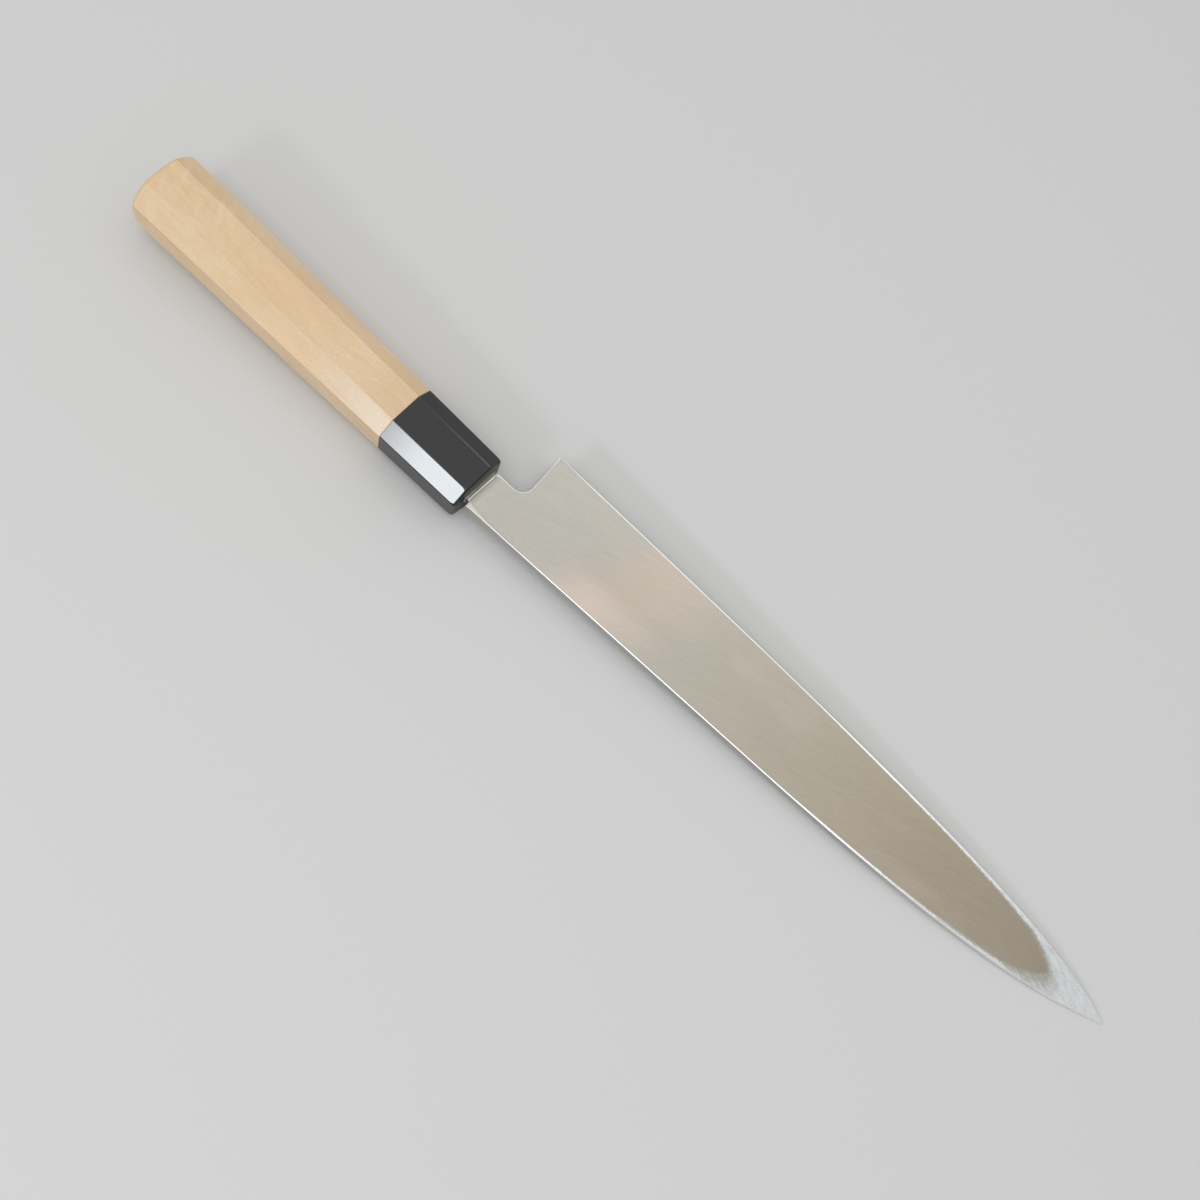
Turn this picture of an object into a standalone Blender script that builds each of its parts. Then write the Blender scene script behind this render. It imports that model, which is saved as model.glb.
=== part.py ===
"""Japanese slicing knife for raw fish, single bevel, lying with its hollow face up.

One forged blade with a tapered tang, an octagonal magnolia handle, a buffalo horn
ferrule and the resin that closes the ferrule's mouth round the tang.

Metres, +Z up. The handle's axis runs along X with its front end at x = 0 while the
pieces are modelled. +X points to the tip and +Y to the cutting edge.
"""
import math

import bmesh
import bpy
from mathutils import Vector
from mathutils.geometry import interpolate_bezier

# Blade outline. Lengths run from the shoulder, heights from the spine's line.
BLADE_LENGTH = 0.240
HEEL_HEIGHT = 0.0311
HEEL_SETBACK = 0.0105
NECK_HEIGHT = 0.0143
CHOIL_RADIUS = 0.0037
CHOIL_LEAN = math.radians(0.7)
TIP_DROP = 0.0118
TIP_BLUNT = 0.00025
SPINE_CURVE_LENGTH = 0.120
SPINE_TIP_ANGLE = math.radians(12.0)
EDGE_HEEL_ANGLE = math.radians(1.6)
EDGE_TIP_ANGLE = math.radians(27.0)

# How far each end of the spine's and the edge's curve keeps its direction, as a share
# of that curve's length.
SPINE_PULL = 0.79
SPINE_TIP_PULL = 0.09
EDGE_PULL = 0.632
EDGE_TIP_PULL = 0.1155

# Blade thickness, and the bevel on the lower face.
SPINE_THICKNESS = 0.0035
TIP_THICKNESS = 0.0005
THICKNESS_FALL = 1.6
THICKNESS_FULLNESS = 0.8
SHINOGI_RATIO = 0.94
BEVEL_HEIGHT = 0.0135
BEVEL_TIP_SHARE = 0.62
EDGE_LAND = 0.00012
SPINE_EASE = 0.00025

# Hollow ground in the upper face, and the flat rims that are left round it.
HOLLOW_RADIUS = 0.300
HOLLOW_START = 0.0008
HOLLOW_RUN_IN = 0.0060
HOLLOW_STOP = 0.0225
HOLLOW_NOSE = 0.0085
NOSE_ROUNDNESS = 0.75
RIM_WIDTH = 0.00055
RIM_AT_NOSE = 0.0020
RIM_SPREAD_LENGTH = 0.100
NECK_RIM = 0.00195
NECK_RIM_FADE = 0.0065

# How the blade sits in the handle.
SHOULDER_GAP = 0.00065
SHOULDER_LEAN = math.radians(3.8)
BLADE_TURN = math.radians(2.04)
SPINE_OFFSET = 0.0066
SPINE_NOTCH = 0.0018
EDGE_NOTCH = 0.0004

# Tang, forged thinner than the neck. It runs along the handle's axis.
TANG_END_HEIGHT = 0.0045
TANG_END_THICKNESS = 0.0020
TANG_STEP = 0.00025

# Octagonal handle.
HANDLE_LENGTH = 0.1325
FERRULE_LENGTH = 0.030
BUTT_WIDTH = 0.0240
BUTT_DEPTH = 0.0194
BUTT_CHAMFER_SIDE = 0.0059
BUTT_CHAMFER_TOP = 0.0046
FRONT_CHAMFER_SIDE = 0.0051
FRONT_CHAMFER_TOP = 0.0040
FACET_EASE = 0.0002
BUTT_DOME_RADIUS = 0.070
BUTT_ROUND = 0.0012
MOUTH_ROUND = 0.0006
SOLID_BUTT = 0.0315

# Joints inside the handle: walls, and the clearances between what fits together.
HORN_SIDE_WALL = 0.00165
HORN_TOP_WALL = 0.0029
HORN_FRONT_WALL = 0.006
TENON_CHEEK = 0.0037
TENON_EDGE = 0.0008
TENON_ROUND = 0.0040
TENON_FIT = 0.00015
TENON_END_GAP = 0.0003
GLUE_LINE = 0.00005
TANG_CLEARANCE = 0.0003
HOLE_SPARE = 0.003
SEAL_WALL = 0.0005
SEAL_FIT = 0.0001
SEAL_DEPTH = 0.0025
SEAL_ROUND = 0.00025
SEAL_SHOULDER_GAP = 0.00015
CUT_OVERRUN = 0.010

# Sizes that follow from those above.
SPINE_STRAIGHT = BLADE_LENGTH - SPINE_CURVE_LENGTH
HOLLOW_END = BLADE_LENGTH - HOLLOW_STOP
NOSE_START = HOLLOW_END - HOLLOW_NOSE
FACE_HEIGHT = SPINE_THICKNESS / 2.0
TANG_ROOT_HEIGHT = NECK_HEIGHT - SPINE_NOTCH - EDGE_NOTCH
TANG_ROOT_THICKNESS = SPINE_THICKNESS - 2.0 * TANG_STEP
TANG_ROOT_CENTRE = -SPINE_OFFSET + SPINE_NOTCH + TANG_ROOT_HEIGHT / 2.0
HOLE_LENGTH = HANDLE_LENGTH - SOLID_BUTT
TANG_LENGTH = HOLE_LENGTH - HOLE_SPARE
TENON_REACH = abs(TANG_ROOT_CENTRE) + TANG_ROOT_HEIGHT / 2.0 + TANG_CLEARANCE + TENON_EDGE
TENON_HEIGHT = TANG_ROOT_THICKNESS + 2.0 * (TANG_CLEARANCE + TENON_CHEEK)
FRONT_WIDTH = 2.0 * (TENON_REACH + TENON_FIT + HORN_SIDE_WALL)
FRONT_DEPTH = TENON_HEIGHT + 2.0 * (TENON_FIT + HORN_TOP_WALL)
SEAL_PROUD = SHOULDER_GAP - SEAL_SHOULDER_GAP

# How finely the curved faces are divided.
CURVE_STEPS = 240
HOLLOW_STEPS = 12
FACET_STEPS = 4


def collection(name):
    made = bpy.data.collections.new(name)
    bpy.context.scene.collection.children.link(made)
    return made


def material(name, colour, roughness, metallic):
    made = bpy.data.materials.new(name)
    made.use_nodes = True
    shader = made.node_tree.nodes["Principled BSDF"]
    shader.inputs["Base Color"].default_value = (*colour, 1.0)
    shader.inputs["Roughness"].default_value = roughness
    shader.inputs["Metallic"].default_value = metallic
    return made


def to_object(name, bm, home, surface=None):
    mesh = bpy.data.meshes.new(name)
    bmesh.ops.recalc_face_normals(bm, faces=bm.faces)
    bm.to_mesh(mesh)
    bm.free()
    made = bpy.data.objects.new(name, mesh)
    home.objects.link(made)
    if surface:
        mesh.materials.append(surface)
    else:
        made.hide_render = True
        made.display_type = "WIRE"
    return made


def loft(sections):
    """Skins a row of closed sections that all have the same number of points."""
    bm = bmesh.new()
    rings = [[bm.verts.new(point) for point in section] for section in sections]
    for ring, following in zip(rings, rings[1:]):
        for k in range(len(ring)):
            n = (k + 1) % len(ring)
            bm.faces.new((ring[k], ring[n], following[n], following[k]))
    bm.faces.new(reversed(rings[0]))
    bm.faces.new(rings[-1])
    return bm


def ring_weighted(bm, count, ring, ring_weight, long_weight, step=1):
    """Bevel weights on a loft: one ring of edges, and every step-th edge beyond it."""
    layer = bm.edges.layers.float.new("bevel_weight_edge")
    bm.verts.index_update()
    for edge in bm.edges:
        a, b = sorted(vert.index for vert in edge.verts)
        if a // count == b // count == ring:
            edge[layer] = ring_weight
        elif a % count == b % count and a % step == 0 and b // count > ring:
            edge[layer] = long_weight
    return bm


def add_bevel(target, width, segments, limit="WEIGHT"):
    bevel = target.modifiers.new("rounded_edges", "BEVEL")
    bevel.width = width
    bevel.segments = segments
    bevel.limit_method = limit
    bevel.harden_normals = False
    return bevel


def add_boolean(target, other, operation):
    boolean = target.modifiers.new(other.name, "BOOLEAN")
    boolean.operation = operation
    boolean.solver = "EXACT"
    boolean.object = other
    return boolean


def smooth(target, angle):
    target.data.shade_smooth()
    target.data.set_sharp_from_angle(angle=angle)


def curve_height(points, x):
    """Height of a curve, given as points in rising x, at one x."""
    for a, b in zip(points, points[1:]):
        if x <= b.x:
            share = (x - a.x) / (b.x - a.x)
            return a.y + (b.y - a.y) * share
    return points[-1].y


def polar(length, angle):
    return Vector((length * math.cos(angle), length * math.sin(angle), 0.0))


# Blade outline as two Bezier curves that meet at the tip.
tip = Vector((BLADE_LENGTH, TIP_DROP, 0.0))
heel = Vector((HEEL_SETBACK, HEEL_HEIGHT, 0.0))
spine_start = Vector((SPINE_STRAIGHT, 0.0, 0.0))
spine_curve = interpolate_bezier(
    spine_start,
    spine_start + polar(SPINE_PULL * SPINE_CURVE_LENGTH, 0.0),
    tip - polar(SPINE_TIP_PULL * SPINE_CURVE_LENGTH, SPINE_TIP_ANGLE),
    tip,
    CURVE_STEPS,
)
edge_length = BLADE_LENGTH - HEEL_SETBACK
edge_curve = interpolate_bezier(
    heel,
    heel + polar(EDGE_PULL * edge_length, -EDGE_HEEL_ANGLE),
    tip - polar(EDGE_TIP_PULL * edge_length, -EDGE_TIP_ANGLE),
    tip,
    CURVE_STEPS,
)


def spine_at(x):
    if x <= SPINE_STRAIGHT:
        return 0.0
    return curve_height(spine_curve, x)


def edge_at(x):
    if x <= HEEL_SETBACK:
        return HEEL_HEIGHT + (HEEL_SETBACK - x) * math.tan(EDGE_HEEL_ANGLE)
    return curve_height(edge_curve, x)


def ramp(value):
    value = min(max(value, 0.0), 1.0)
    return value * value * (3.0 - 2.0 * value)


def thickness_at(x):
    along = x / BLADE_LENGTH
    fall = (1.0 - along ** THICKNESS_FALL) ** THICKNESS_FULLNESS
    return TIP_THICKNESS + (SPINE_THICKNESS - TIP_THICKNESS) * fall


def hollow_at(x):
    """Low side, high side and depth of the hollow ground in the upper face."""
    low_edge = spine_at(x)
    high_edge = edge_at(x)
    spread = ramp(1.0 + (x - NOSE_START) / RIM_SPREAD_LENGTH)
    rim = RIM_WIDTH + (RIM_AT_NOSE - RIM_WIDTH) * spread
    flare = NECK_RIM * math.exp(-x / NECK_RIM_FADE)
    low = low_edge + rim + flare
    high = high_edge - rim
    middle = (low + high) / 2.0
    half = (high - low) / 2.0
    strip = 0.12 * (high_edge - low_edge)
    past = (x - NOSE_START) / HOLLOW_NOSE
    if past >= 1.0:
        middle = (low_edge + high_edge) / 2.0
        return middle - strip, middle + strip, 0.0
    if past > 0.0:
        half = max(half * (1.0 - past) ** NOSE_ROUNDNESS, strip)
    depth = half * half / (2.0 * HOLLOW_RADIUS)
    depth = depth * ramp((x - HOLLOW_START) / HOLLOW_RUN_IN)
    if past > 0.0:
        depth = depth * (1.0 - past)
    return middle - half, middle + half, depth


def blade_section(x):
    low_edge = spine_at(x)
    high_edge = edge_at(x)
    height = high_edge - low_edge
    thick = thickness_at(x)
    ease = min(SPINE_EASE, 0.1 * height, 0.2 * thick)
    low, high, depth = hollow_at(x)
    along = x / BLADE_LENGTH
    heel_share = BEVEL_HEIGHT / HEEL_HEIGHT
    share = heel_share + (BEVEL_TIP_SHARE - heel_share) * along
    shinogi = high_edge - share * height
    flat = [(low_edge + ease, 0.0)]
    for k in range(HOLLOW_STEPS + 1):
        across = 2.0 * k / HOLLOW_STEPS - 1.0
        y = (low + high) / 2.0 + across * (high - low) / 2.0
        flat.append((y, -depth * (1.0 - across * across)))
    flat.append((high_edge, 0.0))
    flat.append((high_edge, -EDGE_LAND))
    flat.append((shinogi, -thick * SHINOGI_RATIO))
    flat.append((low_edge + ease, -thick))
    flat.append((low_edge, -thick + ease))
    flat.append((low_edge, -ease))
    lean = math.tan(SHOULDER_LEAN) if x <= 0.0 else 0.0
    return [Vector((x + (y - NECK_HEIGHT) * lean, y, z)) for y, z in flat]


def stations():
    """Where the blade's sections stand: close together where its shape changes."""
    run_in = HOLLOW_START + HOLLOW_RUN_IN
    spans = (
        (0.0, HOLLOW_START, 1),
        (HOLLOW_START, run_in, 6),
        (run_in, run_in + 3.0 * NECK_RIM_FADE, 5),
        (run_in + 3.0 * NECK_RIM_FADE, SPINE_STRAIGHT, 8),
        (SPINE_STRAIGHT, NOSE_START, 16),
        (NOSE_START, HOLLOW_END, 9),
        (HOLLOW_END, BLADE_LENGTH - TIP_BLUNT, 12),
    )
    found = [0.0]
    for start, end, count in spans:
        for k in range(1, count + 1):
            found.append(start + (end - start) * k / count)
    return found


def octagon(x):
    """The handle's section: a rectangle with its four corners taken off."""
    back = -x / HANDLE_LENGTH
    y = (FRONT_WIDTH + (BUTT_WIDTH - FRONT_WIDTH) * back) / 2.0
    z = (FRONT_DEPTH + (BUTT_DEPTH - FRONT_DEPTH) * back) / 2.0
    side = FRONT_CHAMFER_SIDE + (BUTT_CHAMFER_SIDE - FRONT_CHAMFER_SIDE) * back
    top = FRONT_CHAMFER_TOP + (BUTT_CHAMFER_TOP - FRONT_CHAMFER_TOP) * back
    corners = (
        (y, z - top), (y - side, z), (side - y, z), (-y, z - top),
        (-y, top - z), (side - y, -z), (y - side, -z), (y, top - z),
    )
    return [Vector((x, *corner)) for corner in corners]


def facet_points(x):
    """The octagon with each side cut into equal parts, so that its end can curve."""
    corners = octagon(x)
    found = []
    for k, corner in enumerate(corners):
        following = corners[(k + 1) % len(corners)]
        for n in range(FACET_STEPS):
            found.append(corner.lerp(following, n / FACET_STEPS))
    return found


def butt_rings():
    """Rings of the domed butt, from the middle out to the rim."""
    rim = facet_points(-HANDLE_LENGTH)
    rings = []
    for share in (0.25, 0.5, 0.75, 0.9):
        ring = []
        for point in rim:
            y = point.y * share
            z = point.z * share
            sag = (y * y + z * z) / (2.0 * BUTT_DOME_RADIUS)
            ring.append(Vector((sag - HANDLE_LENGTH, y, z)))
        rings.append(ring)
    outer = []
    for k, point in enumerate(rim):
        sag = (point.y ** 2 + point.z ** 2) / (2.0 * BUTT_DOME_RADIUS)
        outer.append(facet_points(sag - HANDLE_LENGTH)[k])
    return [*rings, outer]


def tang_section(x, grow):
    """The tang's section at one x of the handle, grown by a clearance all round."""
    back = -x / TANG_LENGTH
    half = (TANG_ROOT_HEIGHT + (TANG_END_HEIGHT - TANG_ROOT_HEIGHT) * back) / 2.0 + grow
    thick = TANG_ROOT_THICKNESS + (TANG_END_THICKNESS - TANG_ROOT_THICKNESS) * back
    centre = TANG_ROOT_CENTRE * (1.0 - back)
    deep = thick / 2.0 + grow
    corners = ((1, 1), (-1, 1), (-1, -1), (1, -1))
    return [Vector((x, centre + half * a, deep * b)) for a, b in corners]


def tang_loft(x_front, x_back, grow):
    return loft([tang_section(x_back, grow), tang_section(x_front, grow)])


def box(size, centre):
    bm = bmesh.new()
    bmesh.ops.create_cube(bm, size=1.0)
    bmesh.ops.scale(bm, vec=size, verts=bm.verts)
    bmesh.ops.translate(bm, vec=centre, verts=bm.verts)
    return bm


def edges_along(bm, axis, pick=None):
    """Weights the edges that run along one axis, or only those that pick accepts."""
    layer = bm.edges.layers.float.new("bevel_weight_edge")
    for edge in bm.edges:
        a, b = (vert.co for vert in edge.verts)
        if abs(a[axis] - b[axis]) > 1e-6 and (pick is None or pick(a)):
            edge[layer] = 1.0
    return bm


for item in list(bpy.data.objects):
    bpy.data.objects.remove(item, do_unlink=True)

pieces = collection("fish_slicing_knife")
cutters = collection("cutters")

steel = material("satin_steel", (0.60, 0.57, 0.53), 0.32, 1.0)
magnolia = material("magnolia_wood", (0.72, 0.50, 0.30), 0.60, 0.0)
horn = material("black_horn", (0.018, 0.019, 0.021), 0.22, 0.0)
resin = material("pale_resin", (0.70, 0.66, 0.58), 0.18, 0.0)

# Blade: lofted body, choil and spine notch cut out, tang joined on.
blade = to_object("blade", loft([blade_section(x) for x in stations()]), pieces, steel)
notch_setback = (NECK_HEIGHT - SPINE_NOTCH) * math.tan(SHOULDER_LEAN)
back_corner = notch_setback * math.cos(BLADE_TURN) + SPINE_NOTCH * math.sin(BLADE_TURN)
blade_x = SHOULDER_GAP + max(back_corner, NECK_HEIGHT * math.sin(BLADE_TURN))
blade.location = (blade_x, -SPINE_OFFSET, FACE_HEIGHT)
blade.rotation_euler = (0.0, 0.0, BLADE_TURN)

choil_size = Vector((HEEL_SETBACK, HEEL_HEIGHT, SPINE_THICKNESS)) + Vector((CUT_OVERRUN,) * 3)
choil_bm = box(choil_size, (-choil_size.x / 2.0, choil_size.y / 2.0, 0.0))
edges_along(choil_bm, 2, lambda co: co.x > -1e-6 and co.y < 1e-6)
choil = to_object("choil_cutter", choil_bm, cutters)
choil.parent = blade
choil.location = (HEEL_SETBACK, NECK_HEIGHT, -SPINE_THICKNESS / 2.0)
choil.rotation_euler = (0.0, 0.0, CHOIL_LEAN)
add_bevel(choil, CHOIL_RADIUS, 8)

notch_size = Vector((CUT_OVERRUN, SPINE_NOTCH + CUT_OVERRUN, SPINE_THICKNESS + CUT_OVERRUN))
notch_bm = box(notch_size, (-notch_size.x / 2.0, SPINE_NOTCH - notch_size.y / 2.0, 0.0))
notch = to_object("spine_notch_cutter", notch_bm, cutters)
notch.parent = blade
notch.location = (0.0, 0.0, -SPINE_THICKNESS / 2.0)

tang_front = blade_x + HOLLOW_START
tang = to_object("tang_blank", tang_loft(tang_front, -TANG_LENGTH, 0.0), cutters)
add_boolean(blade, choil, "DIFFERENCE")
add_boolean(blade, notch, "DIFFERENCE")
add_boolean(blade, tang, "UNION")
smooth(blade, math.radians(12.0))

# Handle: tapered octagon with a tenon at its front and a burned-in hole for the tang.
joint_x = -FERRULE_LENGTH
butt = butt_rings()
handle_bm = loft([*butt, facet_points(joint_x - GLUE_LINE)])
facet_ease = FACET_EASE / BUTT_ROUND
ring_weighted(handle_bm, len(butt[0]), len(butt) - 1, 1.0, facet_ease, FACET_STEPS)
handle = to_object("handle_body", handle_bm, pieces, magnolia)
add_bevel(handle, BUTT_ROUND, 3)

tenon_front = -(HORN_FRONT_WALL + TENON_END_GAP)
tenon_back = joint_x - CUT_OVERRUN


def tenon_block(name, x_back, x_front, grow):
    size = (x_front - x_back, 2.0 * (TENON_REACH + grow), TENON_HEIGHT + 2.0 * grow)
    bm = edges_along(box(size, ((x_front + x_back) / 2.0, 0.0, 0.0)), 0)
    made = to_object(name, bm, cutters)
    add_bevel(made, min(TENON_ROUND, 0.4 * TENON_HEIGHT) + grow, 5)
    return made


tenon = tenon_block("tenon_blank", tenon_back, tenon_front, 0.0)
hole_front = tenon_front + CUT_OVERRUN
hole_back = -HOLE_LENGTH
hole = to_object("tang_hole_cutter", tang_loft(hole_front, hole_back, TANG_CLEARANCE), cutters)
add_boolean(handle, tenon, "UNION")
add_boolean(handle, hole, "DIFFERENCE")
smooth(handle, math.radians(25.0))

# Ferrule: the same octagon carried on, bored from behind, slotted in front.
ferrule_bm = loft([octagon(0.0), octagon(joint_x)])
ring_weighted(ferrule_bm, 8, 0, 1.0, FACET_EASE / MOUTH_ROUND)
ferrule = to_object("ferrule", ferrule_bm, pieces, horn)
add_bevel(ferrule, MOUTH_ROUND, 3)
bore = tenon_block("bore_cutter", joint_x - CUT_OVERRUN, -HORN_FRONT_WALL, TENON_FIT)
slot_grow = SEAL_FIT + SEAL_WALL + SEAL_FIT
slot_back = -(HORN_FRONT_WALL + CUT_OVERRUN)
slot = to_object("slot_cutter", tang_loft(CUT_OVERRUN, slot_back, slot_grow), cutters)
add_boolean(ferrule, bore, "DIFFERENCE")
add_boolean(ferrule, slot, "DIFFERENCE")
smooth(ferrule, math.radians(25.0))

# Resin round the tang, just proud of the ferrule's mouth.
seal_grow = SEAL_FIT + SEAL_WALL
seal_bm = loft([tang_section(SEAL_PROUD, seal_grow), tang_section(-SEAL_DEPTH, seal_grow)])
ring_weighted(seal_bm, 4, 0, 1.0, 1.0)
seal = to_object("mouth_seal", seal_bm, pieces, resin)
add_bevel(seal, SEAL_ROUND, 2)
gap_front = SEAL_PROUD + CUT_OVERRUN
gap_back = -(SEAL_DEPTH + CUT_OVERRUN)
gap = to_object("seal_gap_cutter", tang_loft(gap_front, gap_back, SEAL_FIT), cutters)
add_boolean(seal, gap, "DIFFERENCE")
smooth(seal, math.radians(35.0))

# The knife lies on the ferrule's lower front edge and on its tip.
root = bpy.data.objects.new("knife_root", None)
pieces.objects.link(root)
for item in [*pieces.objects, *cutters.objects]:
    if item is not root and item.parent is None:
        item.parent = root


def world_points():
    bpy.context.view_layer.update()
    graph = bpy.context.evaluated_depsgraph_get()
    found = {}
    for item in pieces.objects:
        if item.type != "MESH":
            continue
        shown = item.evaluated_get(graph)
        mesh = shown.to_mesh()
        found[item.name] = [shown.matrix_world @ vert.co for vert in mesh.vertices]
        shown.to_mesh_clear()
    return found


modelled = world_points()
lowest_tip = min(modelled["blade"], key=lambda point: (-round(point.x, 5), point.z))
slopes = []
for point in [*modelled["ferrule"], *modelled["handle_body"]]:
    slopes.append(math.atan2(lowest_tip.z - point.z, lowest_tip.x - point.x))
root.rotation_euler = (0.0, max(slopes), 0.0)

# The origin is under the middle of the knife, on the surface that it lies on.
placed = [point for points in world_points().values() for point in points]
low_corner = Vector([min(point[k] for point in placed) for k in range(3)])
high_corner = Vector([max(point[k] for point in placed) for k in range(3)])
middle = (low_corner + high_corner) / 2.0
root.location = (-middle.x, -middle.y, -low_corner.z)
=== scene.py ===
import math

import bmesh
import bpy
import numpy as np
from mathutils import Matrix, Vector
from mathutils.geometry import delaunay_2d_cdt, interpolate_bezier


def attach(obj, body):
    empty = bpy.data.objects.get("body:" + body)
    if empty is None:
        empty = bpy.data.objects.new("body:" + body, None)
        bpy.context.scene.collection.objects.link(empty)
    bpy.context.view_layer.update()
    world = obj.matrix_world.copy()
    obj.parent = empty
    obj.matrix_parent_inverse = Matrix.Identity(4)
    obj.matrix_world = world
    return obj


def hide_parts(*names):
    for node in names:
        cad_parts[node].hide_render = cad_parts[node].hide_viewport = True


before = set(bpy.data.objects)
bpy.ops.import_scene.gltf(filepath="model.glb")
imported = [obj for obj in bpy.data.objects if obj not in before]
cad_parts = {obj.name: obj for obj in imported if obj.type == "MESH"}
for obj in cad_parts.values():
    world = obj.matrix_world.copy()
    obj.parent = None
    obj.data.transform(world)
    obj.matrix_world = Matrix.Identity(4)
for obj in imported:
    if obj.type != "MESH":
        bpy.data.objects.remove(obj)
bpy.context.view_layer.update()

# Metres. Each piece is made along its own axes: the handle's and the tang's start at the
# handle's front end, and the blade's at its shoulder, on the spine's line. X runs to the tip.
FRONT_END = (-0.05407441, -0.0066137, 0.00852985)
PITCH = math.radians(2.3224)
ROOT = Matrix.Translation(FRONT_END) @ Matrix.Rotation(PITCH, 4, "Y")

# Blade outline, thickness and bevel, as in the solids.
BLADE_LENGTH = 0.240
HEEL_HEIGHT = 0.0311
HEEL_SETBACK = 0.0105
NECK_HEIGHT = 0.0143
CHOIL_RADIUS = 0.0037
CHOIL_LEAN = math.radians(0.7)
TIP_DROP = 0.0118
TIP_BLUNT = 0.000251
SPINE_CURVE_LENGTH = 0.120
SPINE_TIP_ANGLE = math.radians(12.0)
EDGE_HEEL_ANGLE = math.radians(1.6)
EDGE_TIP_ANGLE = math.radians(27.0)
SPINE_PULL = 0.79
SPINE_TIP_PULL = 0.09
EDGE_PULL = 0.632
EDGE_TIP_PULL = 0.1155
SPINE_THICKNESS = 0.0035
TIP_THICKNESS = 0.0005
THICKNESS_FALL = 1.6
THICKNESS_FULLNESS = 0.8
SHINOGI_RATIO = 0.94
BEVEL_HEIGHT = 0.0135
BEVEL_TIP_SHARE = 0.62

# Hollow and its rims. A rim is narrow at first, wider from the middle on, and opens at
# the nose.
HOLLOW_RADIUS = 0.300
HOLLOW_START = 0.0005
HOLLOW_RUN_IN = 0.0060
HOLLOW_STOP = 0.0221
HOLLOW_NOSE = 0.0104
NOSE_SHARPNESS = 1.3
NOSE_ROUNDNESS = 0.62
SPINE_RIM = 0.00016
EDGE_RIM = 0.00030
FORWARD_RIM = 0.00062
FORWARD_RIM_START = 0.105
FORWARD_RIM_RUN = 0.045
NOSE_RIM = 0.00175
NOSE_RIM_RUN = 0.045
NOSE_RIM_POWER = 2.0
NECK_RIM = 0.00195
NECK_RIM_FADE = 0.0065

# Shoulder, tang and handle, as in the solids.
SHOULDER_GAP = 0.00065
SHOULDER_LEAN = math.radians(3.8)
BLADE_TURN = math.radians(2.04)
SPINE_OFFSET = 0.0066
SPINE_NOTCH = 0.0018
EDGE_NOTCH = 0.0004
TANG_STEP = 0.00025
TANG_END_HEIGHT = 0.0045
TANG_END_THICKNESS = 0.0020
HANDLE_LENGTH = 0.1325
FERRULE_LENGTH = 0.030
BUTT_WIDTH = 0.0240
BUTT_DEPTH = 0.0194
BUTT_CHAMFER = (0.0059, 0.0046)
FRONT_CHAMFER = (0.0051, 0.0040)
BUTT_DOME_RADIUS = 0.070
BUTT_ROUND = 0.0012
SOLID_BUTT = 0.0315
HORN_SIDE_WALL = 0.00165
HORN_TOP_WALL = 0.0029
HORN_FRONT_WALL = 0.006
TENON_CHEEK = 0.0037
TENON_EDGE = 0.0008
TENON_ROUND = 0.0040
TENON_FIT = 0.00015
TENON_END_GAP = 0.0003
GLUE_LINE = 0.00005
TANG_CLEARANCE = 0.0003
HOLE_SPARE = 0.003
SEAL_WALL = 0.0005
SEAL_FIT = 0.0001
SEAL_DEPTH = 0.0025
CUT_OVERRUN = 0.010

# Finer forms than the solids have.
SPINE_SOFT = 0.00024
NECK_SOFT = 0.00026
SHOULDER_SOFT = 0.00014
SOFT_HEIGHT_SHARE = 0.05
SOFT_THICKNESS_SHARE = 0.2
SOFT_SIDE_SHARE = 0.45
EDGE_SOFT = 0.00001
EDGE_LAND = 0.00004
HEEL_FADE = 0.002
HOLLOW_LEAN_START = 0.002
HOLLOW_LEAN_RUN = 0.010
CHOIL_SPARE = 0.0004
TANG_ROUND = 0.00045
HOLE_ROUND = 0.0003
SLOT_ROUND = 0.0004
FACET_SOFT = 0.00024
HORN_SOFT = 0.00022
JOINT_EASE = 0.00005
MOUTH_ROUND = 0.00065
MOUTH_ROLL = 0.0030
MOUTH_ROLL_DEPTH = 0.00003
MOUTH_CORNER = 0.0022
MOUTH_CORNER_RUN = 0.0020
BUTT_CORNER = 0.0060
BUTT_CORNER_RUN = 0.0030
BUTT_TRIM = 0.00003
DOME_FADE = 0.0021
END_GRAIN_SHARE = 0.8
TENON_ROUND_SHARE = 0.4
SEAL_SHOULDER_GAP = 0.00020
BEAD_FOOT = 0.0001
BEAD_DROOP = 0.00011
BEAD_ROUND = 0.0003
BEAD_OPENING = 0.6
BEAD_DRIFT = 0.35

# Angles, in degrees, past which an edge shows as a crease.
BLADE_CREASE = 14.0
HANDLE_CREASE = 22.0
BEAD_CREASE = 50.0

# How finely the curved forms are divided.
CURVE_POINTS = 260
STRAIGHT_POINTS = 120
LEAST_STEP = 0.00001
HEEL_STEP = 0.0002
CHOIL_STEPS = 24
NECK_STEPS = 10
SHOULDER_STEPS = 14
SOFT_STEPS = 3
MOUTH_STEPS = 7
BUTT_STEPS = 6
RING_STEPS = 4
TENON_STEPS = 8
BEAD_STEPS = 5
TANG_RINGS = 24
HANDLE_RINGS = 40
HORN_RINGS = 12
HORN_MARK = 0.0005
JOINT_MARKS = (0.001, 0.0003, 0.00006)
HEEL_MARKS = (0.0001, 0.0003, 0.0007, *np.linspace(0.0015, 0.0125, 10))
MARK_SHARE = 0.3
RING_MARKS = (0.0003, 0.0008, 0.0018)
BEAD_MARKS = (0.0006, 0.0014, 0.0026)
DOME_SHARES = (0.01, 0.06, 0.2, 0.45, 0.7, 0.88, 0.97)
DOME_FADE_DEPTHS = (0.0015, 0.0018, 0.0021, 0.0024, 0.0027)
HOLLOW_SHARES = (0.996, 0.98, 0.94, 0.88, 0.8, 0.7, 0.58, 0.45, 0.3, 0.15)
FLAT_SHARES = (0.1, 0.35, 0.65, 0.93)
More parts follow.
